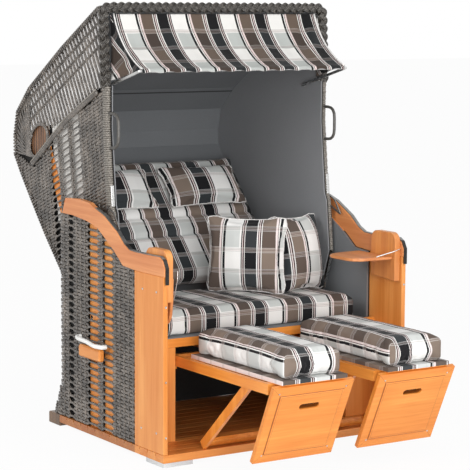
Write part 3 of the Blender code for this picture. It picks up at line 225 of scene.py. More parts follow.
for lamp_name, lamp_place, lamp_size, lamp_power in (
    ("front_lamp", (1.2, -5.2, 3.6), 3.2, 78.0),
    ("fill_lamp", (-2.4, -6.4, 1.3), 3.6, 275.0),
    ("side_lamp", (-5.4, -1.6, 3.2), 3.0, 110.0),
):
    bpy.ops.object.light_add(type="AREA", location=lamp_place)
    lamp = bpy.context.object
    lamp.name = lamp_name
    lamp.data.shape, lamp.data.size, lamp.data.energy = "DISK", lamp_size, lamp_power
    lamp.rotation_euler = (LAMP_AIM - Vector(lamp_place)).to_track_quat("-Z", "Y").to_euler()


# Wood
# Boards of spruce or pine, oiled to a warm honey. The grain runs along each board, and no two boards have
# the same figure or quite the same tone.
def wood(name, grain, light, dark, seed=0.0, board=None, tilt=0.0, figure=1.0):
    finish = Finish(name, 0.42, Coat_Weight=0.12, Coat_Roughness=0.25)
    place = finish.place()
    axes = finish.axes(place)
    scale = [34.0, 34.0, 34.0]
    scale["xyz".index(grain)] = 1.7
    shift = (seed * 3.7, seed * 1.9, seed * 5.3)
    tone = 0.0
    if board:
        axis, pitch, start = board
        number = ((axes["xyz".index(axis)] - start) / pitch).floor()
        shade = finish.add("ShaderNodeTexWhiteNoise", {"noise_dimensions": "1D"}, {"W": number + seed})
        tone = shade * 0.34 - 0.17
        apart = finish.add("ShaderNodeCombineXYZ", {}, {i: number * 1.37 for i in range(3)})
        place = finish.add("ShaderNodeVectorMath", {"operation": "ADD"}, {0: place, 1: apart})
    along = finish.stretched(place, scale, shift, (tilt, 0, 0))
    broad = finish.noise(along, 0.42, 2.0)
    rings = (broad * (20.0 * figure)).sine() * 0.5 + 0.5
    fine = finish.noise(along, 3.2, 4.0, 0.62)
    slow = finish.noise(finish.stretched(place, (3.0, 3.0, 3.0), shift), 1.0, 2.0)
    share = rings * 0.22 + fine * 0.5 + slow * 0.42 + tone - 0.08
    middle = tuple((a + b) / 2 for a, b in zip(light, dark))
    finish.look = finish.ramp(share, [(0.12, dark), (0.5, middle), (0.78, light)])
    finish.feed(Base_Color=finish.look, Roughness=0.52 - fine * 0.22)
    finish.bump(fine + rings * 0.3, 0.0006, 0.35)
    return finish


def grained(
    name, roughness, scale, seen, depth, strength=1.0, places=(0.3, 0.7), detail=2.0, stretch=None,
    clouds=None, **constants,
):
    """A finish whose fine grain gives tone and relief. Clouds add a coarser noise, with shares of both."""
    finish = Finish(name, roughness, **constants)
    place = finish.stretched(finish.place(), stretch) if stretch else finish.place()
    share = finish.grain = finish.noise(place, scale, detail)
    if clouds:
        cloud_scale, cloud_detail, cloud_share, grain_share = clouds
        share = finish.grain * grain_share + finish.noise(place, cloud_scale, cloud_detail) * cloud_share
    finish.feed(Base_Color=finish.tones(share, seen, places))
    finish.bump(finish.grain, depth, strength)
    return finish


def apply_modifier(obj, kind, **settings):
    """Adds a modifier to the active object and applies it."""
    modifier = obj.modifiers.new("step", kind)
    for name, value in settings.items():
        setattr(modifier, name, value)
    bpy.ops.object.modifier_apply(modifier=modifier.name)


def straight_board(name, body, finish, centre, size, lean=0.0, ease=0.0):
    """A straight board or plate, leant about x and with its edges eased."""
    only(camera)
    bpy.ops.mesh.primitive_cube_add(size=1)
    piece = bpy.context.object
    piece.name = name
    piece.scale, piece.location, piece.rotation_euler = size, centre, (lean, 0, 0)
    bpy.ops.object.transform_apply(location=True, rotation=True, scale=True)
    if ease:
        apply_modifier(piece, "BEVEL", width=ease, segments=2)
    paint(piece, finish)
    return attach(piece, body)


HONEY, AMBER = colour(0.915, 0.63, 0.335), colour(0.79, 0.45, 0.15)
ROSE, RUSSET = colour(0.885, 0.6, 0.375), colour(0.735, 0.42, 0.215)
GOLD, UMBER = colour(0.97, 0.66, 0.31), colour(0.8, 0.44, 0.12)
# A dark brown for the panels' mitre joints, and for painted shade in their grooves and finger slots and on
# the floor under the bench.
JOINT_AND_SHADE_DARK = colour(0.46, 0.23, 0.07)
PANEL_MIDDLE, PANEL_HALF, PANEL_STILE, PANEL_CENTRE, PANEL_HALF_HEIGHT = 0.229, 0.171, 0.035, 0.216, 0.1449
PANEL_LEAN, PANEL_TOP, SLOT_REACH, SLOT_SIZE = math.radians(24.9), 0.369, 0.049, (0.094, 0.0015, 0.03)
SLOT_BACK, PANEL_FACE, PANEL_OUT = (-0.834, 0.2884), (-0.893, 0.4645), (0, -0.907, -0.421)
SLOT_LIP, SLOT_DEEP, GROOVE_HALF, STEP_AT, STEP_HALF = 0.002, 0.019, 0.0016, 0.0065, 0.001
SLAT_DEPTH, FLOOR_FRONT, SHADED_FLOOR_FROM = 0.0576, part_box("floor_boards")[0].y, -0.19
BOARDS = [
    ("front_post", "z", HONEY, AMBER, 2), ("front_board", "z", HONEY, AMBER, 5),
    ("armrest", "y", ROSE, RUSSET, 8), ("cheek_board", "z", HONEY, RUSSET, 11),
    ("handle_block", "y", HONEY, AMBER, 14), ("table", "y", ROSE, RUSSET, 17),
    ("footrest_leg", "z", GOLD, UMBER, 26),
]
# A near-black finish for the plates behind the finger slots: painted shade in the slots' recesses.
slot_shade_finish = grained("slot_painted_shade", 0.9, 500.0, [(0.1, 0.06, 0.04), (0.2, 0.12, 0.08)], 0.0004)
for name, side in SIDES.items():
    for node, grain, light, dark, seed in BOARDS:
        tilt = side * 0.02 if node == "armrest" else 0.0
        board_wood = wood(f"{node}_wood_{name}", grain, light, dark, side + seed, tilt=tilt)
        paint(nodes[f"{node}_{name}"], board_wood)
    panel_wood = wood(f"panel_wood_{name}", "x", GOLD, UMBER, side + 23, figure=0.45)
    across, depth, height = panel_wood.axes()
    middle = abs(abs(across) - PANEL_MIDDLE)
    beside = middle - PANEL_HALF
    above = (abs(height - PANEL_CENTRE) - PANEL_HALF_HEIGHT) / math.cos(PANEL_LEAN)
    beyond = beside.maths("MAXIMUM", beside, above)
    # The walls inside each finger slot are painted dark: painted shade in the recess.
    sunk = depth - PANEL_FACE[0] - (PANEL_TOP - height) * PANEL_FACE[1]
    painted_slot_shade = (sunk > SLOT_LIP) * (sunk < SLOT_DEEP) * (middle < SLOT_REACH) * (above < -SLOT_REACH)
    # The dark lines at the moulding's groove and step are painted shade; the mitre lines are the frame's
    # joints.
    step = abs(beyond + PANEL_STILE + STEP_AT) < STEP_HALF
    groove_shade = (abs(beyond + PANEL_STILE) < GROOVE_HALF) + step * 0.5
    mitre = (abs(beside - above) < STEP_HALF) * (beyond > -PANEL_STILE)
    # The panel is made a little darker within 4 mm of its outer edge.
    darker_edge = panel_wood.mix((abs(beyond) < 0.004) * 0.25, panel_wood.look, (*UMBER, 1))
    lines = groove_shade * 0.75 + mitre * 0.5 + painted_slot_shade * 0.9
    panel_wood.feed(Base_Color=panel_wood.mix(lines, darker_edge, (*JOINT_AND_SHADE_DARK, 1)))
    paint(nodes[f"footrest_panel_{name}"], panel_wood)
    # A dark plate behind each finger slot stands for the shade inside it: painted shade.
    straight_board(
        f"slot_shade_plate_{name}", f"panel_{name}", slot_shade_finish, (side * PANEL_MIDDLE, *SLOT_BACK), SLOT_SIZE,
        PANEL_LEAN, 0.0006,
    )
floor_wood = wood("floor_wood", "x", HONEY, AMBER, 31, ("y", SLAT_DEPTH, FLOOR_FRONT))
# The boards behind y = -0.19, under the bench, are mixed 55% towards dark brown: painted shade.
inside = floor_wood.axes()[1] > SHADED_FLOOR_FROM
floor_wood.feed(Base_Color=floor_wood.mix(inside * 0.55, floor_wood.look, (*JOINT_AND_SHADE_DARK, 1)))
paint(nodes["floor_boards"], floor_wood)
paint(nodes["bench_frame"], wood("bench_wood", "x", GOLD, UMBER, 33))


# Lining
# A grey woven fabric, glued to the inside of hood and basket. It covers the hood's roof, back and sides.
# Its pale reverse shows through the open weave of the hood's sides.
LINING_GREY, LINING_SHADE = colour(0.455, 0.465, 0.475), colour(0.375, 0.385, 0.395)
# A near-black for the back lining's seam line, and for painted shade behind the hood's slits and on the
# basket frames' outer faces.
LINING_REVERSE, DARK_SEAM_AND_SHADE = colour(0.93, 0.92, 0.9), colour(0.1, 0.095, 0.09)


def lining(name, light=LINING_GREY, dark=LINING_SHADE):
    finish = Finish(name, 0.82)
    place = finish.place()
    threads = finish.noise(finish.stretched(place, (900, 900, 330)), 1.0, 1.0)
    cross_threads = finish.noise(finish.stretched(place, (330, 330, 900), (3, 5, 7)), 1.0, 1.0)
    cloudy = finish.noise(place, 2.6, 3.0)
    share = threads * 0.4 + cross_threads * 0.4 + cloudy * 0.35 - 0.1
    finish.grey = finish.ramp(share, [(0.2, dark), (0.8, light)])
    finish.feed(Base_Color=finish.grey)
    finish.bump(threads + cross_threads, 0.0005, 0.5)
    return finish


SEAM_HEIGHT, REVERSE_FROM = 1.298, 0.4868
back_cloth = lining("back_lining_cloth")
seam = abs(back_cloth.axes()[2] - SEAM_HEIGHT) < 0.0028
back_cloth.feed(Base_Color=back_cloth.mix(seam * 0.8, back_cloth.grey, (*DARK_SEAM_AND_SHADE, 1)))
paint(nodes["back_lining"], back_cloth)
paint(nodes["bench_board"], lining("bench_cloth"))
# The sides' lining is the same fabric as the back's, painted lighter: painted light on the hood's inner
# sides.
SIDE_GREY_PAINTED_LIGHT, SIDE_SHADE_PAINTED_LIGHT = colour(0.56, 0.565, 0.575), colour(0.485, 0.49, 0.5)
for name, side in SIDES.items():
    finish = lining(f"side_lining_painted_light_{name}", SIDE_GREY_PAINTED_LIGHT, SIDE_SHADE_PAINTED_LIGHT)
    across, depth, height = finish.axes()
    outer_face = abs(across) > REVERSE_FROM
    # On the outer face, the zone behind the slits is painted near-black as painted shade; the rest shows the
    # pale reverse.
    slanted = depth + (height - 1.1) * -0.13
    slit_shade = (slanted > 0.3) * (slanted < 0.56) * (height > 0.8)
    reverse_and_slit_shade = finish.mix(slit_shade, (*DARK_SEAM_AND_SHADE, 1), (*LINING_REVERSE, 1))
    finish.feed(Base_Color=finish.mix(outer_face, finish.grey, reverse_and_slit_shade))
    paint(nodes[f"side_lining_{name}"], finish)


# Wicker
# Flat strands of dark brown-grey resin, about 12 mm wide, woven by hand over upright stakes. Rows that close
# up in pairs leave the windows in the basket's sides and the slits in the hood's.
STRAND_TONES = (0.3, 0.5, 0.76)
wicker = grained(
    "dark_wicker", 0.3, 160.0, [(0.1, 0.085, 0.07), (0.25, 0.225, 0.2), (0.555, 0.515, 0.475)], 0.0006, 0.5,
    STRAND_TONES, clouds=(14.0, 2.0, 0.45, 0.65), Specular_IOR_Level=0.75,
)
wicker.feed(Roughness=0.38 - wicker.grain * 0.22)
TAPE_RING = np.array([(1, 0), (0.62, 1), (-0.62, 1), (-1, 0), (-0.62, -1), (0.62, -1)])


def unit(vectors):
    return vectors / np.linalg.norm(vectors, axis=1)[:, None]


def distances(points):
    """The distance along a line at each of its points."""
    return np.concatenate(([0], np.cumsum(np.linalg.norm(np.diff(points, axis=0), axis=1))))


def at_distance(distance, reach, values):
    """Each column of a line's values at a distance along it."""
    return [np.interp(distance, reach, column) for column in values.T]


def new_object(name, mesh):
    obj = bpy.data.objects.new(name, mesh)
    bpy.context.scene.collection.objects.link(obj)
    return obj


def from_faces(name, points, faces):
    mesh = bpy.data.meshes.new(name)
    mesh.from_pydata(points, [], faces)
    return new_object(name, mesh)


def smooth(mesh):
    mesh.polygons.foreach_set("use_smooth", [True] * len(mesh.polygons))


class Strands:
    """Closed flat strands, each laid along points with its flat side towards a given direction."""

    def __init__(self):
        self.points, self.faces, self.count = [], [], 0

    def lay(self, path, outward, half_width, half_thickness):
        path = np.asarray(path, float)
        if len(path) < 2:
            return
        run = unit(np.gradient(path, axis=0))
        across = unit(np.cross(run, np.broadcast_to(outward, path.shape)))
        lifted = np.cross(across, run)
        half_width = np.broadcast_to(half_width, len(path))[:, None]
        rings = [path + across * a * half_width + lifted * b * half_thickness for a, b in TAPE_RING]
        sides, start = len(TAPE_RING), self.count
        self.points.append(np.stack(rings, axis=1).reshape(-1, 3))
        for i in range(len(path) - 1):
            near, far = start + i * sides, start + (i + 1) * sides
            turns = [(k, (k + 1) % sides) for k in range(sides)]
            self.faces += [(near + k, far + k, far + after, near + after) for k, after in turns]
        last = start + (len(path) - 1) * sides
        self.faces.append(tuple(range(start, start + sides)))
        self.faces.append(tuple(range(last + sides - 1, last - 1, -1)))
        self.count += len(path) * sides

    def finished(self, name, body, slot="wicker", finish=wicker):
        obj = from_faces(name, np.concatenate(self.points).tolist(), self.faces)
        smooth(obj.data)
        paint(obj, finish)
        if body:
            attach(obj, body)
        return obj


def runs_inside(start, way, outline, least=0.0):
    """Where a line runs inside an outline for the least length or more, as pairs of distances along it."""
    cuts = []
    for (ay, az), (by, bz) in zip(outline, outline[1:] + outline[:1]):
        ey, ez = by - ay, bz - az
        turn = way[0] * ez - way[1] * ey
        if abs(turn) < 1e-9:
            continue
        ry, rz = ay - start[0], az - start[1]
        if 0 <= (ry * way[1] - rz * way[0]) / turn < 1:
            cuts.append((ry * ez - rz * ey) / turn)
    cuts.sort()
    return [(low, high) for low, high in zip(cuts[::2], cuts[1::2]) if high - low >= least]


def steps_between(low, high, step):
    """Every step's multiple inside a range, with its two ends."""
    inner = [k * step for k in range(math.ceil(low / step + 0.1), math.floor(high / step - 0.1) + 1)]
    return np.array([low, *inner, high])


def lines_over(outline, origin, across_way, along_way, pitch):
    """The numbers of the lines at a pitch that cross an outline."""
    basis = np.linalg.inv(np.column_stack((along_way, across_way)))
    offsets = (np.array(outline) - origin) @ basis.T[:, 1] / pitch
    return range(math.ceil(offsets.min() + 0.02), math.floor(offsets.max() - 0.02) + 1)


ROW_HALF, STAKE_HALF, TAPE_HALF_THICK = 0.0063, 0.006, 0.0017
ROW_PITCH, LIFT, WINDOW_EDGE = 0.0135, 0.0023, 0.01


def weave(name, body, node, outline, spot, origin, row_way, stake_way, row_pitch, stake_pitch, windows=()):
    """Weaves rows over and under stakes inside an outline, to take a node's place. In a window, a range along
    the rows, the rows close up in pairs."""
    strands = Strands()
    origin, row_way, stake_way = (np.array(v, float) for v in (origin, row_way, stake_way))
    row_half = ROW_HALF * row_pitch / ROW_PITCH
    for j in lines_over(outline, origin, stake_way, row_way, row_pitch):
        start = origin + stake_way * (j * row_pitch)
        for low, high in runs_inside(start, row_way, outline, stake_pitch * 0.3):
            t = steps_between(low, high, stake_pitch / 2)
            ends = [a + step for a, b in windows for step in (0, WINDOW_EDGE, b - a - WINDOW_EDGE, b - a)]
            t = np.unique(np.concatenate((t, [end for end in ends if low < end < high])))
            close = np.zeros(len(t))
            for a, b in windows:
                close = np.maximum(close, np.clip(np.minimum(t - a, b - t) / WINDOW_EDGE, 0, 1))
            wave = LIFT * np.cos(np.pi * (t / stake_pitch + j)) * (1 - close) + close * LIFT * (-1) ** j * 0.7
            drawn = (row_pitch / 2 - 0.0006) * (1 if j % 2 else -1) * -close
            flat = start + t[:, None] * row_way + drawn[:, None] * stake_way
            strands.lay(*spot(flat, wave), row_half * (1 - close * 0.38), TAPE_HALF_THICK)
    for i in lines_over(outline, origin, row_way, stake_way, stake_pitch):
        if any(a + 0.004 < i * stake_pitch < b - 0.004 for a, b in windows):
            continue
        start = origin + row_way * (i * stake_pitch)
        for low, high in runs_inside(start, stake_way, outline, row_pitch):
            t = steps_between(low, high, row_pitch / 2)
            wave = -LIFT * np.cos(np.pi * (t / row_pitch + i))
            strands.lay(*spot(start + t[:, None] * stake_way, wave), STAKE_HALF, TAPE_HALF_THICK)
    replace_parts(strands.finished(name, body), node)


def inset(line, distance):
    """An open line moved sideways, to the right of its direction, with mitred corners."""
    points, moved = [Vector(p) for p in line], []
    for i, point in enumerate(points):
        normals = []
        for a, b in ((i - 1, i), (i, i + 1)):
            if a >= 0 and b < len(points):
                run = (points[b] - points[a]).normalized()
                normals.append(Vector((run.y, -run.x)))
        mitre = sum(normals, Vector((0, 0))).normalized()
        moved.append(tuple(point + mitre * distance / mitre.dot(normals[0])))
    return moved


def side_spot(side, middle):
    """A function from a place in a side's plane and a lift to a point, with the way out from the chair."""

    def spot(flat, lift):
        points = np.column_stack((side * (middle + lift * np.ones(len(flat))), flat))
        return points, np.array((side, 0.0, 0.0))

    return spot


# Basket
# The two sides are woven over the wooden side frames, with two columns of windows where the wood shows.
# The rear is one woven panel that flares out at its foot.
ARM_FRONT, ARM_LENGTH, ARM_HEIGHT, ARM_RISE = -0.40575, 0.784, 0.7, 0.225
ARM_BOTTOM = [
    (0.272, 0.000), (0.389, 0.031), (0.476, 0.249), (0.566, 0.427), (0.643, 0.576), (0.742, 0.649),
    (0.902, 0.702), (1.000, 0.702),
]
BASKET_LOW, FLARE_TOP, BASKET_REAR, FLARE_REAR, BASKET_FRONT = 0.0466, 0.1906, 0.3975, 0.4592, -0.1878
under_arm = [(ARM_FRONT + a * ARM_LENGTH, ARM_HEIGHT - 0.001 + b * ARM_RISE) for a, b in ARM_BOTTOM]
under_arm = [p for p in under_arm if p[0] > BASKET_FRONT + 0.03]
basket_side = [(BASKET_FRONT, BASKET_LOW), (BASKET_FRONT, ARM_HEIGHT - 0.001), *under_arm]
basket_side += [(BASKET_REAR, under_arm[-1][1]), (BASKET_REAR, FLARE_TOP), (FLARE_REAR, BASKET_LOW)]
BASKET_MIDDLE, BASKET_STAKE, FRAME_OUTER = 0.5443, 0.034, 0.5262
BASKET_WINDOWS = [(-0.192, -0.178), (-0.02, 0.0665), (0.0945, 0.181), (0.29, 0.336)]
BARE_WOOD = ((0.02325, 0.042), (0.1375, 0.044))
FRAME_LIGHT, FRAME_DARK = colour(0.97, 0.68, 0.38), colour(0.88, 0.52, 0.24)
for name, side in SIDES.items():
    weave(
        f"basket_weave_{name}", "base", f"side_wicker_{name}", basket_side, side_spot(side, BASKET_MIDDLE),
        (0, BASKET_LOW + 0.006), (1, 0), (0, 1), ROW_PITCH, BASKET_STAKE, BASKET_WINDOWS,
    )
    frame_wood = wood(f"side_frame_wood_{name}", "z", FRAME_LIGHT, FRAME_DARK, side + 35)
    across, depth, height = frame_wood.axes()
    first, second = (depth.maths("COMPARE", depth, *column) for column in BARE_WOOD)
    # Behind the weave the frame's outer face is painted near-black, painted shade between the strands, and
    # its wood shows in the windows; its inner face takes the lining's grey.
    outer_face = abs(across) > FRAME_OUTER
    lining_grey_and_gap_shade = frame_wood.mix(outer_face, (*LINING_GREY, 1), (*DARK_SEAM_AND_SHADE, 1))
    frame_wood.feed(Base_Color=frame_wood.mix((first + second) * outer_face, lining_grey_and_gap_shade, frame_wood.look))
    paint(nodes[f"side_frame_{name}"], frame_wood)

REAR_HALF, REAR_TOP, REAR_BACKING = 0.517, 0.4185, 0.002
REAR_WINDOWS = [(-0.3, -0.225), (0.225, 0.3)]
rear_line = [(BASKET_REAR, REAR_TOP), (BASKET_REAR, FLARE_TOP), (FLARE_REAR, BASKET_LOW)]


def along_line(line):
    """A function from (x, distance along a line in y and z) and a lift to a point, with the way out there."""
    corners = np.array(line)
    legs = np.diff(corners, axis=0)
    reach = distances(corners)
    normals = unit(np.column_stack((legs[:, 1], -legs[:, 0])))
    corner_normals = unit(np.vstack((normals[:1], normals[:-1] + normals[1:], normals[-1:])))

    def spot(flat, lift):
        y, z = at_distance(flat[:, 1], reach, corners)
        ny, nz = at_distance(flat[:, 1], reach, corner_normals)
        outward = -np.column_stack((np.zeros(len(flat)), ny, nz))
        return np.column_stack((flat[:, 0], y, z)) + outward * (lift * np.ones(len(flat)))[:, None], outward

    return spot, reach[-1]


def broad_weave(name, body, node, line, half, row_pitch, stake_pitch, windows=()):
    """Weaves a panel whose rows run straight across and whose stakes follow a line."""
    spot, length = along_line(line)
    outline = [(-half, 0), (half, 0), (half, length), (-half, length)]
    weave(name, body, node, outline, spot, (0, 0.004), (1, 0), (0, 1), row_pitch, stake_pitch, windows)


broad_weave(
    "rear_weave", "base", "rear_wicker", inset(rear_line, 0.0055), REAR_HALF, ROW_PITCH, BASKET_STAKE,
    REAR_WINDOWS,
)
DARK_TONES = [(0.07, 0.07, 0.07), (0.15, 0.15, 0.15)]
dark_cloth = grained("dark_cloth", 0.95, 1.0, DARK_TONES, 0.0004, stretch=(600, 600, 240))
straight_board(
    "rear_backing", "base", dark_cloth, (0, BASKET_REAR - 0.0135, (REAR_TOP + BASKET_LOW) / 2),
    (2 * REAR_HALF, REAR_BACKING, REAR_TOP - BASKET_LOW),
)


# Hood sides and shell
# The hood's sides are open above the smooth bar, where paired strands hold the flat ones square to the roof,
# and close below it. Roof and back are one dense weave, and its edges are bound over the corner.
HOOD_BACK = [
    (0.1387, 1.6651), (0.1673, 1.6639), (0.4621, 1.5069), (0.7525, 1.3348), (0.8644, 1.232),
    (0.8913, 1.1305), (0.8895, 1.051), (0.828, 0.9741), (0.7343, 0.8694), (0.6164, 0.7433),
    (0.4664, 0.599),
]
HOOD_FRONT = [
    (0.241, 0.445), (0.2011, 0.418), (0.1309, 0.418), (0.1066, 0.4401), (0.0243, 0.6803),
    (0.0455, 0.8833), (0.0602, 0.9136), (0.0893, 1.2061), (0.0873, 1.3635),
]
BEHIND_RIM = [(0.1234, 1.364), (0.1384, 1.642)]
TRIM = [(0.163, 1.3411), (0.4161, 1.2187), (0.6684, 1.0548), (0.7179, 1.0233)]
SHELL_THICKNESS, TRIM_HALF = 0.0183, 0.012
HOOD_MIDDLE, SIDE_THICK = 0.5035, 0.0017
OVAL_CENTRE, OVAL_SIZE = (0.662, 1.122), (0.082, 0.058)
back_inner = inset(HOOD_BACK, SHELL_THICKNESS)
trim_upper, trim_lower = inset(TRIM, -TRIM_HALF), inset(TRIM, TRIM_HALF)
trim_way = (Vector(TRIM[2]) - Vector(TRIM[1])).normalized()
trim_up = Vector((-trim_way.y, trim_way.x))


def oval_point(angle, grow=1.0):
    """A place on the opening's edge. Angle 0 lies towards the rear along the bar, and 90 above it."""
    turn = math.radians(angle)
    return tuple(
        Vector(OVAL_CENTRE) + trim_way * (OVAL_SIZE[0] * grow * math.cos(turn))
        + trim_up * (OVAL_SIZE[1] * grow * math.sin(turn))
    )


open_zone = [*back_inner[:4], *[oval_point(angle, 1.06) for angle in range(20, 200, 15)]]
open_zone += [trim_upper[1], trim_upper[0], *BEHIND_RIM]
dense_zone = [*trim_lower, *back_inner[6:], *HOOD_FRONT, BEHIND_RIM[0]]
ROOF_WAY = (Vector(HOOD_BACK[2]) - Vector(HOOD_BACK[1])).normalized()
ROOF_UP = Vector((-ROOF_WAY.y, ROOF_WAY.x))
STRAND_WAY = Vector((-math.cos(math.radians(59)), -math.sin(math.radians(59))))
OPEN_PITCH, OPEN_ROW, OPEN_ROWS = 0.0258, 0.04, 3
PAIR_HALF, PAIR_SPREAD = 0.0028, 0.0024
SIDE_ROW_WAY, SIDE_STAKE_WAY = (0.934, -0.358), (0.135, 0.991)
SIDE_ROW, SIDE_STAKE, SIDE_ORIGIN = 0.01305, 0.0345, (0.0602, 0.9136)
SLITS = [(0.222, 0.302), (0.315, 0.4), (0.412, 0.492)]
SHELL_ROW, FAN, FAN_STEPS, RING_LIFT, RING_HALF = 0.015, 24, 7, 0.0032, 0.0042
origin = Vector(back_inner[1])
fan_line = np.array([*back_inner[3:7], trim_upper[-1]])
fan_reach = distances(fan_line)
for name, side in SIDES.items():
    spot = side_spot(side, HOOD_MIDDLE)
    weave(
        f"hood_side_weave_{name}", "hood", f"hood_side_{name}", dense_zone, spot, SIDE_ORIGIN, SIDE_ROW_WAY,
        SIDE_STAKE_WAY, SIDE_ROW, SIDE_STAKE, SLITS,
    )
    strands = Strands()
    for k in range(-6, 44):
        start = np.array(origin + ROOF_WAY * (OPEN_PITCH * k))
        for low, high in runs_inside(start, STRAND_WAY, open_zone, 0.02):
            t = np.linspace(low, high, max(4, int((high - low) / 0.03)))
            flat = start + t[:, None] * np.array(STRAND_WAY)
            strands.lay(*spot(flat, 0.0008 * np.sin(t * 60 + k)), 0.0066 if k % 2 else 0.006, SIDE_THICK)
    for row in range(OPEN_ROWS):
        start = np.array(origin + ROOF_UP * -(OPEN_ROW * (row + 1)))
        for low, high in runs_inside(start, ROOF_WAY, open_zone):
            for strand in (0, 1):
                t = steps_between(low, high, OPEN_PITCH / 4)
                swing = np.pi * (t / OPEN_PITCH + strand)
                flat = start + t[:, None] * np.array(ROOF_WAY)
                flat = flat + (PAIR_SPREAD * np.sin(swing))[:, None] * np.array(ROOF_UP)
                strands.lay(*spot(flat, 0.0031 * np.cos(swing)), PAIR_HALF, SIDE_THICK)
    # Strands fan out round the rear corner, from the opening to the roof's edge
    for k in range(FAN):
        share = (k + 0.5) / FAN
        outer_end = np.array(at_distance(share * fan_reach[-2], fan_reach, fan_line))
        inner_end = np.array(oval_point(24 - 60 * share, 1.1))
        t = np.linspace(0, 1, FAN_STEPS)[:, None]
        lift = (0.0018 if k % 2 else -0.0018) * np.sin(t[:, 0] * np.pi * 3)
        flat = inner_end + (outer_end - inner_end) * t
        strands.lay(*spot(flat, lift), np.linspace(0.003, 0.0056, FAN_STEPS), SIDE_THICK)
    for grow in (1.0, 1.1):
        flat = np.array([oval_point(angle, grow) for angle in range(0, 361, 12)])
        strands.lay(*spot(flat, RING_LIFT), RING_HALF, SIDE_THICK)
    strands.finished(f"hood_open_weave_{name}", "hood")

broad_weave(
    "hood_shell_weave", "hood", "hood_shell", inset(HOOD_BACK, 0.006), HOOD_MIDDLE, SHELL_ROW, SIDE_STAKE,
)


# Edges
# The shell's edge is bound to the sides with a strand every 13 mm. The hood's front edges are wrapped in a
# ribbed band, a smooth bar crosses each side, and a thick plait runs over the front and down both sides.
BINDING_TONES = [(0.33, 0.31, 0.285), (0.6, 0.575, 0.54)]
binding = grained("ribbed_binding", 0.42, 210.0, BINDING_TONES, 0.0006, 0.5, Specular_IOR_Level=0.55)
binding.feed(Roughness=0.52 - binding.grain * 0.2)
WRAP_PITCH, WRAP_HALF, BAND_WIDTH = 0.0085, 0.004, 0.036
BAND_PITCH, EDGE_OUT, EDGE_IN = 0.0133, 0.5085, 0.4925
SHELL_STEPS = [
    (0.486, 0.003, (0.6, 0.4)), (0.497, 0, (0, 1)), (0.5065, 0.0035, (0, 1)), (0.5095, 0.013, (0.5, 0.5)),
    (0.5065, 0.024, (1, 0)),
]
WRAP_STEPS = [
    (EDGE_OUT - 0.003, BAND_WIDTH, (1, 0)), (EDGE_OUT, 0.03, (1, 0)), (EDGE_OUT, 0.006, (1, 0)),
    (EDGE_OUT - 0.003, 0.001, (0.7, 0.7)), (0.5005, -0.0015, (0, 1)), (EDGE_IN + 0.002, 0.001, (-0.7, 0.7)),
    (EDGE_IN, 0.006, (-1, 0)),
]


def bind(strands, side, line, pitch, steps):
    """Lays strands over an edge. A step is its x, its distance in from the line and the way it faces."""
    line = np.array(line)
    reach = distances(line)
    for distance in np.arange(pitch / 2, reach[-1], pitch):
        i = min(np.searchsorted(reach, distance, "right") - 1, len(line) - 2)
        way = (line[i + 1] - line[i]) / (reach[i + 1] - reach[i])
        place = line[i] + way * (distance - reach[i])
        inward = np.array((way[1], -way[0]))
        points = np.array([(side * x, *(place + inward * d)) for x, d, _ in steps])
        outward = np.array([(side * a, *(-inward * b)) for _, _, (a, b) in steps])
        strands.lay(points, outward, WRAP_HALF, SIDE_THICK)


edge_strands, band_strands = Strands(), Strands()
for side in SIDES.values():
    bind(edge_strands, side, HOOD_BACK, BAND_PITCH, SHELL_STEPS)
    for line in (HOOD_FRONT[4:7], HOOD_FRONT[6:]):
        bind(band_strands, side, line, WRAP_PITCH, WRAP_STEPS)
edge_strands.finished("shell_edge_binding", "hood")
band_strands.finished("front_edge_binding", "hood", finish=binding)

trim_line = np.array(TRIM)
bar_line = [np.linspace(a, b, 8)[:-1] for a, b in zip(trim_line, trim_line[1:])]
bar_line = np.concatenate([*bar_line, trim_line[-1:]])
TRIM_PARTS = (("bar", 0.0, 0.5085, 0.0125, 0.004, wicker), ("edge", 0.009, 0.5118, 0.0036, 0.0024, binding))
for name, side in SIDES.items():
    for part, raised, x, half_width, half_thickness, finish in TRIM_PARTS:
        strands = Strands()
        flat = bar_line + np.array(trim_up) * raised
        strands.lay(*side_spot(side, x)(flat, 0.0), half_width, half_thickness)
        strands.finished(f"trim_{part}_{name}", "hood", finish=finish)

RIM_X, RIM_Y_LOW, RIM_Y_HIGH, RIM_LOW, RIM_HIGH = 0.5065, 0.1043, 0.1192, 1.36, 1.659
RIM_SPREAD, RIM_DEPTH, PLAIT_TURN, CORNER = 0.012, 0.0075, 0.098, 0.03
PLY_SPREAD, PLY_HALF, PLY_THICK = 0.0062, 0.0034, 0.0042
corners = [
    Vector((-RIM_X, RIM_Y_LOW, RIM_LOW)), Vector((-RIM_X, RIM_Y_HIGH, RIM_HIGH)),
    Vector((RIM_X, RIM_Y_HIGH, RIM_HIGH)), Vector((RIM_X, RIM_Y_LOW, RIM_LOW)),
]
rim_path = [corners[0]]
for before, corner, after in zip(corners, corners[1:], corners[2:]):
    into, out = (before - corner).normalized() * CORNER, (after - corner).normalized() * CORNER
    rim_path += [corner + into * (1 - t) ** 2 + out * t**2 for t in (0, 0.25, 0.5, 0.75, 1)]
rim_path.append(corners[-1])
rim_points = np.array(rim_path)
reach = distances(rim_points)
t = np.linspace(0, reach[-1], int(reach[-1] / 0.0042))
centre = np.column_stack(at_distance(t, reach, rim_points))
facing = np.array((0.0, -1.0, 0.0))
sideways = unit(np.cross(unit(np.gradient(centre, axis=0)), facing))
strands = Strands()
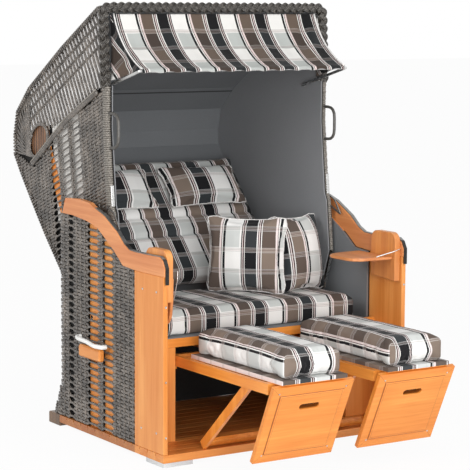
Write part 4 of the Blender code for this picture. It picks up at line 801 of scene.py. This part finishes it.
for strand in range(3):
    phase = 2 * np.pi * (t / PLAIT_TURN + strand / 3)
    line = centre + sideways * (RIM_SPREAD * np.sin(phase))[:, None]
    line = line + facing * (RIM_DEPTH * np.sin(2 * phase))[:, None]
    across = unit(np.cross(unit(np.gradient(line, axis=0)), facing))
    for ply in (-1, 0, 1):
        strands.lay(line + across * (ply * PLY_SPREAD), facing, PLY_HALF, PLY_THICK)
plait_finish = grained(
    "plait_wicker", 0.36, 190.0, [(0.12, 0.11, 0.1), (0.23, 0.215, 0.2), (0.46, 0.44, 0.41)], 0.0006, 0.5,
    STRAND_TONES, Specular_IOR_Level=0.6,
)
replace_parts(strands.finished("rim_plait", "hood", finish=plait_finish), "hood_rim")

STRUT_TOP, STRUT_END, STRUT_HALF, STRUT_THICK = Vector((0.6, 1.1)), Vector((0.428, 0.77)), 0.023, 0.005
STRUT_LIGHT, STRUT_DARK = colour(0.98, 0.66, 0.36), colour(0.9, 0.52, 0.22)
way = STRUT_END - STRUT_TOP
for name, side in SIDES.items():
    strut_wood = wood(f"strut_wood_{name}", "z", STRUT_LIGHT, STRUT_DARK, side + 40)
    straight_board(
        f"hood_strut_{name}", "hood", strut_wood,
        (side * 0.4942, *((STRUT_TOP + STRUT_END) / 2)), (STRUT_THICK, 2 * STRUT_HALF, way.length),
        math.atan2(way.x, -way.y), 0.0015,
    )


# Behind the weave
# The pale reverse of the lining lies close behind the open strands, brown strips of wood behind the oval
# opening, and a strip of the grey lining closes the gap between basket and shell below the back cushion.
REVERSE_X, REVERSE_THICK = 0.4985, 0.0008


def on_whole_mesh(operator, **settings):
    """Runs an edit mode operator on all of the active object's mesh."""
    bpy.ops.object.mode_set(mode="EDIT")
    bpy.ops.mesh.select_all(action="SELECT")
    operator(**settings)
    bpy.ops.object.mode_set(mode="OBJECT")


def flat_panel(name, outline, x, thickness):
    """A thin panel of an outline in y and z, upright at x."""
    panel = from_faces(name, [(x, y, z) for y, z in outline], [list(range(len(outline)))])
    only(panel)
    apply_modifier(panel, "SOLIDIFY", thickness=thickness, offset=0)
    on_whole_mesh(bpy.ops.mesh.normals_make_consistent, inside=False)
    return panel


reverse_finish = grained(
    "lining_reverse", 0.85, 900.0, [(0.8, 0.78, 0.76), (0.99, 0.985, 0.98)], 0.0003, 0.4, (0.3, 0.62), 1.0,
    clouds=(19.0, 3.0, 0.8, 0.2),
)
STRIP_PITCH, STRIP_GAP = 0.021, 0.16
strip_wood = Finish("oval_strip_wood", 0.5)
# Dark lines between the strips, on one flat plate, are painted shade in the gaps.
strip_gap_shade = (strip_wood.axes()[1] % STRIP_PITCH) / STRIP_PITCH < STRIP_GAP
grain = strip_wood.noise(strip_wood.stretched(strip_wood.place(), (60, 160, 9)), 1.0, 3.0)
brown = strip_wood.tones(grain, [(0.33, 0.22, 0.15), (0.56, 0.4, 0.28)])
strip_wood.feed(Base_Color=strip_wood.mix(strip_gap_shade, brown, rgba(0.07, 0.05, 0.04)))
strip_wood.bump(grain - strip_gap_shade * 2.0, 0.001, 0.8)
pale_outline = [*back_inner[1:4], *[oval_point(angle, 1.12) for angle in range(24, 184, 20)]]
pale_outline += [*trim_upper[1::-1], *BEHIND_RIM]
oval_outline = [oval_point(angle, 1.06) for angle in range(0, 360, 12)]
BEHIND = (
    ("open_weave_reverse", pale_outline, REVERSE_X, REVERSE_THICK, reverse_finish, "lining"),
    ("oval_strips", oval_outline, 0.4965, 0.003, strip_wood, "wood"),
)
for name, side in SIDES.items():
    for part, outline, x, thickness, finish, slot in BEHIND:
        panel = flat_panel(f"{part}_{name}", outline, side * x, thickness)
        paint(panel, finish)
        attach(panel, "hood")

CLOSING_LOW, CLOSING_HIGH, CLOSING_HALF = (0.43, 0.4215), (0.456, 0.622), 0.474
closing_cloth = lining("closing_cloth")
u, w = np.linspace(-1, 1, 40)[None, :], np.linspace(0, 1, 16)[:, None]
closing_y = CLOSING_LOW[0] + (CLOSING_HIGH[0] - CLOSING_LOW[0]) * w
closing_y = closing_y + 0.004 * np.sin(w * np.pi) * np.sin(u * 9)
closing_z = CLOSING_LOW[1] + (CLOSING_HIGH[1] - CLOSING_LOW[1]) * w + 0 * u
closing_grid = np.dstack([CLOSING_HALF * u + 0 * w, closing_y, closing_z])


# Check cloth
# A woven cotton check in white, taupe and black with fine lines between. Each piece carries its own map in
# metres, with the stripes along v, so that the pattern has its real size and runs down over the fronts.
WHITE, GREY = colour(0.93, 0.925, 0.915), colour(0.8, 0.81, 0.8)
PINK, BROWN = colour(0.91, 0.86, 0.85), colour(0.3, 0.22, 0.215)
BLACK, BLUE = colour(0.085, 0.085, 0.095), colour(0.2, 0.215, 0.225)
TAUPE_LIGHT, TAUPE_DARK = colour(0.51, 0.45, 0.405), colour(0.37, 0.32, 0.29)
PERIOD, WOVEN_PERIOD, BAND_PERIOD, BLOCK, BAND_SHARE = 0.224, 0.2168, 0.168, 0.064, 0.3
ACROSS = [
    (0.0000, WHITE, GREY), (0.056, BLACK), (0.0655, WHITE), (0.0695, BROWN), (0.0725, PINK),
    (0.08, TAUPE_LIGHT, TAUPE_DARK), (0.1302, WHITE), (0.1335, BROWN), (0.1385, PINK), (0.1415, BROWN),
    (0.1455, WHITE), (0.1495, BLACK, BLUE), (0.1942, WHITE), (0.1972, BROWN), (0.2025, PINK), (0.205, BLACK),
    (0.21, WHITE),
]
BAND_LINES = [
    (0.0, WHITE), (0.16, TAUPE_DARK), (0.26, PINK), (0.42, TAUPE_LIGHT), (0.62, PINK), (0.74, TAUPE_DARK),
    (0.84, WHITE),
]


def checked(finish, vector, place, depth=0.0):
    """The check's colour and its yarn over a finish, from a vector in metres across and along the stripes."""
    across, down, _ = finish.axes(vector)
    in_period = (across % PERIOD) / PERIOD
    stripes = [[(stripe[0] / WOVEN_PERIOD, stripe[k]) for stripe in ACROSS] for k in (1, -1)]
    one, other = (finish.ramp(in_period, stops, "CONSTANT") for stops in stripes)
    along = down % BAND_PERIOD
    half_way = along % (BAND_PERIOD / 2)
    plain = finish.mix(along > BAND_PERIOD / 2, one, other)
    line_place = (half_way - BLOCK) / (BAND_PERIOD / 2 - BLOCK)
    band_colour = finish.ramp(line_place, BAND_LINES, "CONSTANT")
    woven = finish.mix((half_way > BLOCK) * BAND_SHARE, plain, band_colour)
    # Depth multiplies the colour by itself: painted shade, for copies of the cloth that are made darker.
    woven = finish.mix(depth, woven, woven, "MULTIPLY")
    yarn = finish.noise(finish.stretched(vector, (1500, 500, 1)), 1.0, 1.0)
    weft_yarn = finish.noise(finish.stretched(vector, (500, 1500, 1), (5, 3, 0)), 1.0, 1.0)
    soiled = finish.noise(place, 7.0, 3.0)
    share = yarn * 0.35 + weft_yarn * 0.35 + soiled * 0.3
    shade = finish.ramp(share, [(0.25, (0.8, 0.8, 0.8)), (0.75, (1.0, 1.0, 1.0))])
    return finish.mix(1.0, woven, shade, "MULTIPLY"), yarn + weft_yarn + soiled * 1.5


def check_finish(name, depth):
    finish = Finish(name, 0.88, Sheen_Weight=0.05, Specular_IOR_Level=0.25)
    look, threads = checked(finish, finish.add("ShaderNodeUVMap", {"uv_map": "cloth"}), finish.place(), depth)
    finish.feed(Base_Color=look)
    finish.bump(threads, 0.0006, 0.6)
    return finish


# The seat's and the awning's copies of the cloth are painted darker, as painted shade; the other pieces take
# the plain cloth.
check, shaded_check = check_finish("check_cloth", 0.0), check_finish("check_painted_shade", 0.35)
awning_check_painted_shade = check_finish("check_awning_painted_shade", 0.6)

# The boards under the foot cushions are covered with the same cloth, on the wooden frame.
COVER_LOW = 0.3712
for name, side in SIDES.items():
    frame_finish = wood(f"slide_wood_{name}", "y", GOLD, UMBER, side + 20)
    place = frame_finish.place()
    covered = frame_finish.axes(place)[2] > COVER_LOW
    cover_look, _ = checked(frame_finish, place, place)
    frame_finish.feed(
        Base_Color=frame_finish.mix(covered, frame_finish.look, cover_look), Roughness=covered * 0.45 + 0.4,
        Coat_Weight=0.1 - covered * 0.1,
    )
    paint(nodes[f"footrest_frame_{name}"], frame_finish)


def read_points(mesh):
    flat = np.empty(len(mesh.vertices) * 3)
    mesh.vertices.foreach_get("co", flat)
    return flat.reshape(-1, 3)


def write_points(mesh, points):
    mesh.vertices.foreach_set("co", np.asarray(points, float).ravel())
    mesh.update()


def corners_of(mesh):
    """The number of the point at each corner of each face."""
    corner = np.empty(len(mesh.loops), int)
    mesh.loops.foreach_get("vertex_index", corner)
    return corner


def write_map(mesh, places):
    mesh.uv_layers.new(name="cloth").data.foreach_set("uv", places.ravel())


def map_cloth(mesh, points, top, phase, scale):
    """Lays the cloth's map in metres over a mesh whose points are given in its own axes, z through it."""
    corner, sides = corners_of(mesh), np.empty(len(mesh.polygons), int)
    facing = np.empty(len(mesh.polygons) * 3)
    mesh.polygons.foreach_get("loop_total", sides)
    mesh.polygons.foreach_get("normal", facing)
    facing = np.repeat(np.abs(facing.reshape(-1, 3)), sides, axis=0)
    u, v = points[corner, 0], points[corner, 1]
    if top:
        x_edge, y_edge = np.abs(points[:, 0]).max(), np.abs(points[:, 1]).max()
        drop = top - points[corner, 2]
        upright = facing[:, 2] < facing[:, :2].max(1)
        front = upright & (facing[:, 1] > facing[:, 0])
        v = np.where(front, np.sign(v) * (y_edge + drop), v)
        u = np.where(upright & ~front, np.sign(u) * (x_edge + drop), u)
    write_map(mesh, np.column_stack((scale * u + phase[0], v + phase[1])))


PIPING_TONES = [(0.74, 0.73, 0.72), (0.93, 0.92, 0.91)]
piping_finish = grained("white_piping", 0.8, 260.0, PIPING_TONES, 0.0004, 0.6)


# Cushions
# Polyester filling in sewn covers of the check cloth: a seat and a back cushion, two foot cushions, two
# headrests and two loose pillows. The cloth simulation swells each one; seams, creases and puckers follow.
FRAMES, PRESSURE, SHRINK, CUSHION_ROUND, DRAW_IN, CROWN = 20, 4.0, 0.005, 0.016, 0.012, 0.007
MARGIN, RIPPLE, PUCKER, PIPING_HALF = np.array((0.004, 0.006, 0.01)), 0.0014, 0.005, 0.0022


def swell(piece, cap):
    """Blows a piece up with the cloth simulation and keeps each point within the cap."""
    start = read_points(piece.data)
    cloth = piece.modifiers.new("filling", "CLOTH")
    cloth.settings.use_pressure = True
    cloth.settings.uniform_pressure_force = PRESSURE
    cloth.settings.effector_weights.gravity = 0
    cloth.collision_settings.use_collision = False
    cloth.point_cache.frame_end = FRAMES
    for frame_number in range(1, FRAMES + 1):
        bpy.context.scene.frame_set(frame_number)
    swollen = piece.evaluated_get(bpy.context.evaluated_depsgraph_get())
    moved = read_points(swollen.data) - start
    piece.modifiers.remove(cloth)
    bpy.context.scene.frame_set(1)
    reach = np.linalg.norm(moved, axis=1)[:, None]
    return start + moved * np.minimum(1, cap / np.maximum(reach, 1e-6))


def knife_piping(node, body, points, half, centre, rotation):
    """A white cord along the seam of a pillow whose points are given in its own axes."""
    turn_round = np.arctan2(points[:, 1] / half[1], points[:, 0] / half[0])
    reach = np.linalg.norm(points[:, :2] / half[:2], axis=1)
    turns, edge = np.linspace(-np.pi, np.pi, 97), []
    for low, high in zip(turns[:-1], turns[1:]):
        inside = np.flatnonzero((turn_round >= low) & (turn_round < high))
        edge.append(points[inside[reach[inside].argmax()]] * (1.004, 1.004, 1))
    edge = np.array([*edge, edge[0]])
    edge = (edge @ rotation.T) + (rotation @ centre)
    strands = Strands()
    strands.lay(edge, rotation @ np.array((0, 0, 1.0)), PIPING_HALF, PIPING_HALF)
    strands.finished(f"{node}_piping", body, "check_cloth", piping_finish)


def cushion(
    node, body, voxel, cap, phase, turn=0.0, lean=0.0, knife=False, scale=1, creases=(), seed=0,
    ears=(0.1, 0.1),
):
    """A swollen cover for a node: a box cushion, or a knife-edged pillow with ears at its corners."""
    turned, leant = Matrix.Rotation(math.radians(turn), 3, "Z"), Matrix.Rotation(math.radians(lean), 3, "X")
    rotation = np.array(turned @ leant)
    piece = new_object(f"{node}_cloth", nodes[node].data.copy())
    only(piece)
    on_whole_mesh(bpy.ops.mesh.remove_doubles, threshold=0.0002)
    points = read_points(piece.data) @ rotation
    low, high = points.min(0), points.max(0)
    centre, half = (low + high) / 2, (high - low) / 2
    if knife:
        write_points(piece.data, (points - centre) * (1 - SHRINK / half))
    else:
        bpy.data.objects.remove(piece)
        bpy.ops.mesh.primitive_cube_add(size=2)
        piece = bpy.context.object
        piece.name = f"{node}_cloth"
        piece.scale = half - SHRINK * np.array((1, 1, 0.6))
        bpy.ops.object.transform_apply(location=False, rotation=False, scale=True)
        apply_modifier(piece, "BEVEL", width=CUSHION_ROUND, segments=4)
    apply_modifier(piece, "REMESH", mode="VOXEL", voxel_size=voxel)
    points = read_points(piece.data)
    map_cloth(piece.data, points, 0 if knife else points[:, 2].max(), phase, scale)
    points = swell(piece, cap)
    share = points / half
    if not knife:
        inside = np.clip(1 - share[:, :2] ** 2, 0, 1)
        points[:, :2] *= 1 - DRAW_IN * inside[:, ::-1]
        points[:, 2] += np.where(share[:, 2] > 0, CROWN, 0) * inside.prod(1) - CROWN * 0.4
    over = np.maximum(np.abs(points) - half, 0)
    points = np.sign(points) * (np.minimum(np.abs(points), half) + MARGIN * np.tanh(over / MARGIN))
    if knife:
        corner = (np.minimum(1, np.abs(share[:, 0])) * np.minimum(1, np.abs(share[:, 1]))) ** 4
        points[:, :2] *= (1 + np.where(share[:, 1] > 0, ears[1], ears[0]) * corner)[:, None]
        edge = np.maximum(np.abs(share[:, 0]), np.abs(share[:, 1])) ** 7
        turn_round = np.arctan2(share[:, 1], share[:, 0]) * 9
        pucker = np.sin(turn_round * 2.3 + seed) * np.sin(turn_round * 5.1 + 2 * seed)
        points[:, 2] += PUCKER * pucker * edge * np.minimum(1, half[2] / 0.05)
    else:
        points[:, 2] = np.maximum(points[:, 2], -half[2])
    write_points(piece.data, points)
    normals = np.array([vert.normal[:] for vert in piece.data.vertices])
    across, down, _ = (points * 13.0 + seed).T
    ripple = np.sin(across * 1.3 + 2 * np.sin(down)) * np.sin(down * 1.1 + 1.5 * np.sin(across * 0.7))
    free = 1 if knife else np.clip((points[:, 2] + half[2]) / 0.02, 0, 1)
    points = points + normals * (RIPPLE * ripple * free)[:, None]
    for place, depth, width, slant in creases:
        distance = points[:, 1] - place - slant * points[:, 0]
        front = np.clip(points[:, 2] / half[2], 0, 1)
        points[:, 2] -= depth * np.exp(-((distance / width) ** 2)) * front
    write_points(piece.data, points)
    smooth(piece.data)
    # The seat's cover takes the cloth's copy with painted shade.
    paint(piece, shaded_check if node == "seat_cushion" else check)
    piece.data.transform(Matrix(rotation).to_4x4() @ Matrix.Translation(centre))
    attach(piece, body)
    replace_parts(piece, node)
    if knife:
        knife_piping(node, body, points, half, centre, rotation)
    return piece


cushion("seat_cushion", "base", 0.007, 0.02, (0.4, 0.0), seed=1)
HEADREST_LEAN = 48.3
creases = [(0.002, 0.01, 0.01, 0.0), (-0.09, 0.012, 0.011, 0.02)]
cushion("back_cushion", "hood", 0.007, 0.02, (0.4, 0.02), lean=HEADREST_LEAN, creases=creases, seed=2)
HEADREST_PHASES, HEADREST_SCALE = {"left": (0.178, 0.03), "right": (0.198, 0.05)}, 0.77
FOOT_PHASES, FOOT_ANCHOR, FOOT_KEEP = {"left": 0.209, "right": 0.234}, (0, -0.59, 0.386), 0.17
PILLOWS = {"left": ((-0.018, 0.05), -44.4, 86.0, 11), "right": ((0.065, 0.0), 11.0, 77.0, 13)}
for name, side in SIDES.items():
    foot = cushion(
        f"footrest_cushion_{name}", f"footrest_{name}", 0.0055, 0.016, (FOOT_PHASES[name], 0.03),
        seed=4 + side,
    )
    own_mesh(foot)
    cushion(
        f"headrest_{name}", "hood", 0.005, 0.012, HEADREST_PHASES[name], lean=HEADREST_LEAN, knife=True,
        scale=HEADREST_SCALE, seed=7 + side,
    )
for name, (phase, turn, lean, seed) in PILLOWS.items():
    cushion(
        f"loose_pillow_{name}", "base", 0.005, 0.012, phase, turn=turn, lean=lean, knife=True, scale=-1,
        seed=seed, ears=(0.06, 0.17),
    )


# Awning
# One sheet of the check cloth hangs from under the rim and is sewn over the steel bar, with its hem below it.
# A gusset closes each side, and white piping runs down the edges where they are sewn together.
AWNING_HALF, AWNING_TOP, AWNING_BAR, HEM_LOW = 0.4625, (0.1165, 1.6345), (-0.0965, 1.4335), 0.013
PROFILE = [
    (0, 0), (0.07, 0.17), (0.155, 0.325), (0.27, 0.475), (0.4, 0.62), (0.56, 0.755), (0.74, 0.88),
    (0.9, 0.965), (1, 1),
]
CLOTH_ROWS, CLOTH_COLUMNS, CLOTH_WALL = 48, 120, 0.0016
BAR_Y, BAR_Z = AWNING_BAR
drop = np.array(AWNING_BAR) - AWNING_TOP
profile = np.array(PROFILE) * drop + AWNING_TOP
profile = np.vstack([profile, (BAR_Y - 0.0055, BAR_Z - 0.006), (BAR_Y - 0.0065, BAR_Z - HEM_LOW)])
profile_reach = distances(profile)


def cloth_piece(name, grid, places, finish):
    """A sheet from a grid of points, with the cloth's map and a thin wall."""
    rows, columns = grid.shape[:2]
    faces = [
        (r * columns + c, r * columns + c + 1, (r + 1) * columns + c + 1, (r + 1) * columns + c)
        for r in range(rows - 1) for c in range(columns - 1)
    ]
    piece = from_faces(name, grid.reshape(-1, 3).tolist(), faces)
    write_map(piece.data, places.reshape(-1, 2)[corners_of(piece.data)])
    smooth(piece.data)
    wall = piece.modifiers.new("wall", "SOLIDIFY")
    wall.thickness, wall.offset = CLOTH_WALL, 0
    paint(piece, finish)
    return piece


closing = cloth_piece("closing_strip", closing_grid, closing_grid[:, :, [0, 2]], closing_cloth)
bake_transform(closing)

u = np.linspace(-1, 1, CLOTH_COLUMNS)[None, :]
t = np.linspace(0, profile_reach[-1], CLOTH_ROWS)[:, None]
share = t / profile_reach[-1]
y, z = (column + 0 * u for column in at_distance(t, profile_reach, profile))
x = u * AWNING_HALF * (1 - 0.012 * np.sin(np.pi * share))
folds = np.sin(u * 21 + 1.5 * share) * 0.5 + np.sin(u * 47 + 2.0) * 0.3 + np.sin(u * 9 - 3 * share) * 0.5
slack = np.exp(-(((u - 0.84) / 0.16) ** 2)) * np.sin(u * 34 + share * 7) * 1.6
slack = slack + np.exp(-(((u + 0.9) / 0.12) ** 2)) * np.sin(share * 11)
swing = 0.0034 * (folds + slack) * np.sin(np.pi * np.minimum(1, share * 1.1))
z = z + swing * 0.7 - 0.003 * np.maximum(0, share - 0.93) / 0.07 * np.cos(u * 12 * np.pi)
y = y - swing * 0.7
# The awning and its gussets take the cloth's copy with painted shade.
awning = cloth_piece("awning_sheet", np.dstack([x, y, z]), np.dstack([x + 0.4305, t + 0 * u]), awning_check_painted_shade)
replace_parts(awning, "awning_cloth")
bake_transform(awning)

GUSSET_ROOT, GUSSET_X, GUSSET_ROWS, PIPING_ROWS = (0.118, 1.382), 0.4615, 22, 24
GUSSET_PHASES = {"left": 0.215, "right": 0.29}
seam_end = profile_reach[-3]
for name, side in SIDES.items():
    s = np.linspace(0, 0.985, GUSSET_ROWS)[:, None]
    w = np.linspace(0, 1, 14)[None, :]
    edge_y, edge_z = at_distance(s * seam_end, profile_reach, profile)
    low_y = GUSSET_ROOT[0] + (BAR_Y - GUSSET_ROOT[0]) * s
    low_z = GUSSET_ROOT[1] + (BAR_Z - GUSSET_ROOT[1]) * s
    y, z = edge_y + (low_y - edge_y) * w, edge_z + (low_z - edge_z) * w
    fold = np.sin(w * 14 + s * 3) * 0.0022 + np.sin(s * 17 + w * 4) * 0.0018
    sunk = (0.014 * np.sin(np.pi * w) + fold) * np.sin(np.pi * (0.12 + 0.88 * s))
    x = side * (GUSSET_X + 0.0165 * (1 - s) ** 2 - sunk)
    beside = (y - AWNING_TOP[0]) * 0.686 - (z - AWNING_TOP[1]) * 0.727
    below = (y - AWNING_TOP[0]) * -0.727 - (z - AWNING_TOP[1]) * 0.686
    places = np.dstack([GUSSET_PHASES[name] - beside, below])
    gusset = cloth_piece(f"awning_gusset_{name}", np.dstack([x, y, z]), places, awning_check_painted_shade)
    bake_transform(gusset)
    strands = Strands()
    y, z = at_distance(np.linspace(0, seam_end, PIPING_ROWS), profile_reach, profile)
    piping = np.column_stack([side * (GUSSET_X + 0.0015) * np.ones(PIPING_ROWS), y - 0.0012, z + 0.0012])
    strands.lay(piping, (side * 0.5, -0.6, 0.6), 0.003, 0.003)
    cord_edge = strands.finished(f"awning_piping_{name}", None, "check_cloth", piping_finish)
    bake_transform(cord_edge)


# Metals and plastics
# Zinc-plated flat steel on the armrests and at the hood, bright tube for the bow and wire for the tables'
# stays, white plastic bows to carry the chair by, light grey shoes under its corners.
def metal(name, light, dark, roughness):
    finish = Finish(name, roughness, 1.0)
    place = finish.place()
    scratches = finish.noise(finish.stretched(place, (300, 30, 300)), 1.0, 3.0)
    cloudy = finish.noise(place, 18.0, 3.0)
    share = scratches * 0.5 + cloudy * 0.5
    finish.look = finish.tones(share, (dark, light))
    finish.feed(Base_Color=finish.look, Roughness=share * 0.3 + (roughness - 0.12))
    finish.bump(scratches, 0.0002, 0.3)
    return finish


def plastic(name, light, dark, roughness):
    clouds = (9.0, 2.0, 0.7, 0.3)
    return grained(name, roughness, 420.0, (dark, light), 0.0003, 0.35, clouds=clouds, Specular_IOR_Level=0.5)


STRIP_LIGHT, STRIP_DARK = (0.66, 0.66, 0.65), (0.42, 0.42, 0.42)
strip_steel = metal("strip_steel", STRIP_LIGHT, STRIP_DARK, 0.36)
nose_steel = metal("nose_steel", STRIP_LIGHT, STRIP_DARK, 0.36)
bright_steel = metal("bright_steel", (0.9, 0.9, 0.89), (0.7, 0.7, 0.7), 0.24)
white_plastic = plastic("white_plastic", (0.95, 0.95, 0.94), (0.87, 0.87, 0.86), 0.38)
grey_plastic = plastic("grey_plastic", (0.84, 0.85, 0.85), (0.72, 0.73, 0.74), 0.5)
handle_finish = plastic("dark_handle", (0.36, 0.35, 0.33), (0.22, 0.21, 0.2), 0.4)
nose = nose_steel.axes()[1] < -0.388
nose_steel.feed(Base_Color=nose_steel.mix(nose * 0.85, nose_steel.look, (0.012, 0.012, 0.012, 1)))
heel_wood = wood("heel_wood", "z", colour(0.5, 0.38, 0.27), colour(0.28, 0.2, 0.14), 50)
for node, finish in (
    ("ratchet_strip", nose_steel), ("latch", strip_steel), ("pivot_bolt", bright_steel),
    ("table_stay", bright_steel), ("carry_grip", white_plastic), ("corner_shoe", grey_plastic),
    ("hood_handle", handle_finish), ("rear_heel", heel_wood),
):
    for name in SIDES:
        paint(nodes[f"{node}_{name}"], finish)
paint(nodes["awning_bow"], bright_steel)


# Fittings
# Small plates of steel at the hood's front edges, and countersunk screws in the front of the posts, in the
# chair's sides beside them and in the corners of the footrests' panels.
def screw(name, body, centre, facing, radius=0.0042):
    """A countersunk head with a round recess, its face turned this way."""
    only(camera)
    bpy.ops.mesh.primitive_cylinder_add(vertices=20, radius=radius, depth=0.0016)
    head = bpy.context.object
    head.name = name
    bpy.ops.object.mode_set(mode="EDIT")
    bpy.ops.mesh.select_all(action="DESELECT")
    bpy.ops.object.mode_set(mode="OBJECT")
    for face in head.data.polygons:
        face.select = face.normal.z > 0.9
    bpy.ops.object.mode_set(mode="EDIT")
    bpy.ops.mesh.inset(thickness=radius * 0.25)
    bpy.ops.mesh.inset(thickness=radius * 0.35)
    bpy.ops.transform.translate(value=(0, 0, -0.0007))
    bpy.ops.object.mode_set(mode="OBJECT")
    head.rotation_euler = Vector(facing).to_track_quat("Z", "Y").to_euler()
    head.location = centre
    bpy.ops.object.transform_apply(location=True, rotation=True, scale=True)
    bpy.ops.object.shade_smooth_by_angle(angle=math.radians(35))
    paint(head, bright_steel)
    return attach(head, body)


POST_SCREWS = [(0.5405, -0.3996, z) for z in (0.11, 0.315, 0.59)]
SIDE_SCREWS = [
    (0.5508, -0.35, 0.12), (0.5508, -0.24, 0.12), (0.5508, -0.35, 0.64), (0.5508, -0.25, 0.64),
]
PLATES = {
    "low": ((0.0478, 0.602), (0.012, 0.0022, 0.12), 18.5),
    "high": ((0.059, 0.95), (0.013, 0.0022, 0.08), -5.7),
}
PANEL_SCREWS, SCREW_SPAN = ((-0.142, 0.1), (0.142, 0.1), (-0.142, 0.9), (0.142, 0.9)), 0.2984
for name, side in SIDES.items():
    for part, (place, size, lean) in PLATES.items():
        straight_board(
            f"hood_plate_{part}_{name}", "hood", bright_steel, (side * 0.5005, *place), size,
            math.radians(lean), min(size) * 0.3,
        )
    for i, (x, y, z) in enumerate(POST_SCREWS):
        screw(f"post_screw_{name}_{i}", "base", (side * x, y, z), (0, -1, 0))
    for i, (x, y, z) in enumerate(SIDE_SCREWS):
        screw(f"side_screw_{name}_{i}", "base", (side * x, y, z), (side, 0, 0))
    for i, (dx, share) in enumerate(PANEL_SCREWS):
        z = PANEL_TOP - share * SCREW_SPAN
        y = PANEL_FACE[0] + (PANEL_TOP - z) * PANEL_FACE[1]
        screw(f"panel_screw_{name}_{i}", f"panel_{name}", (side * PANEL_MIDDLE + dx, y, z), PANEL_OUT, 0.0032)
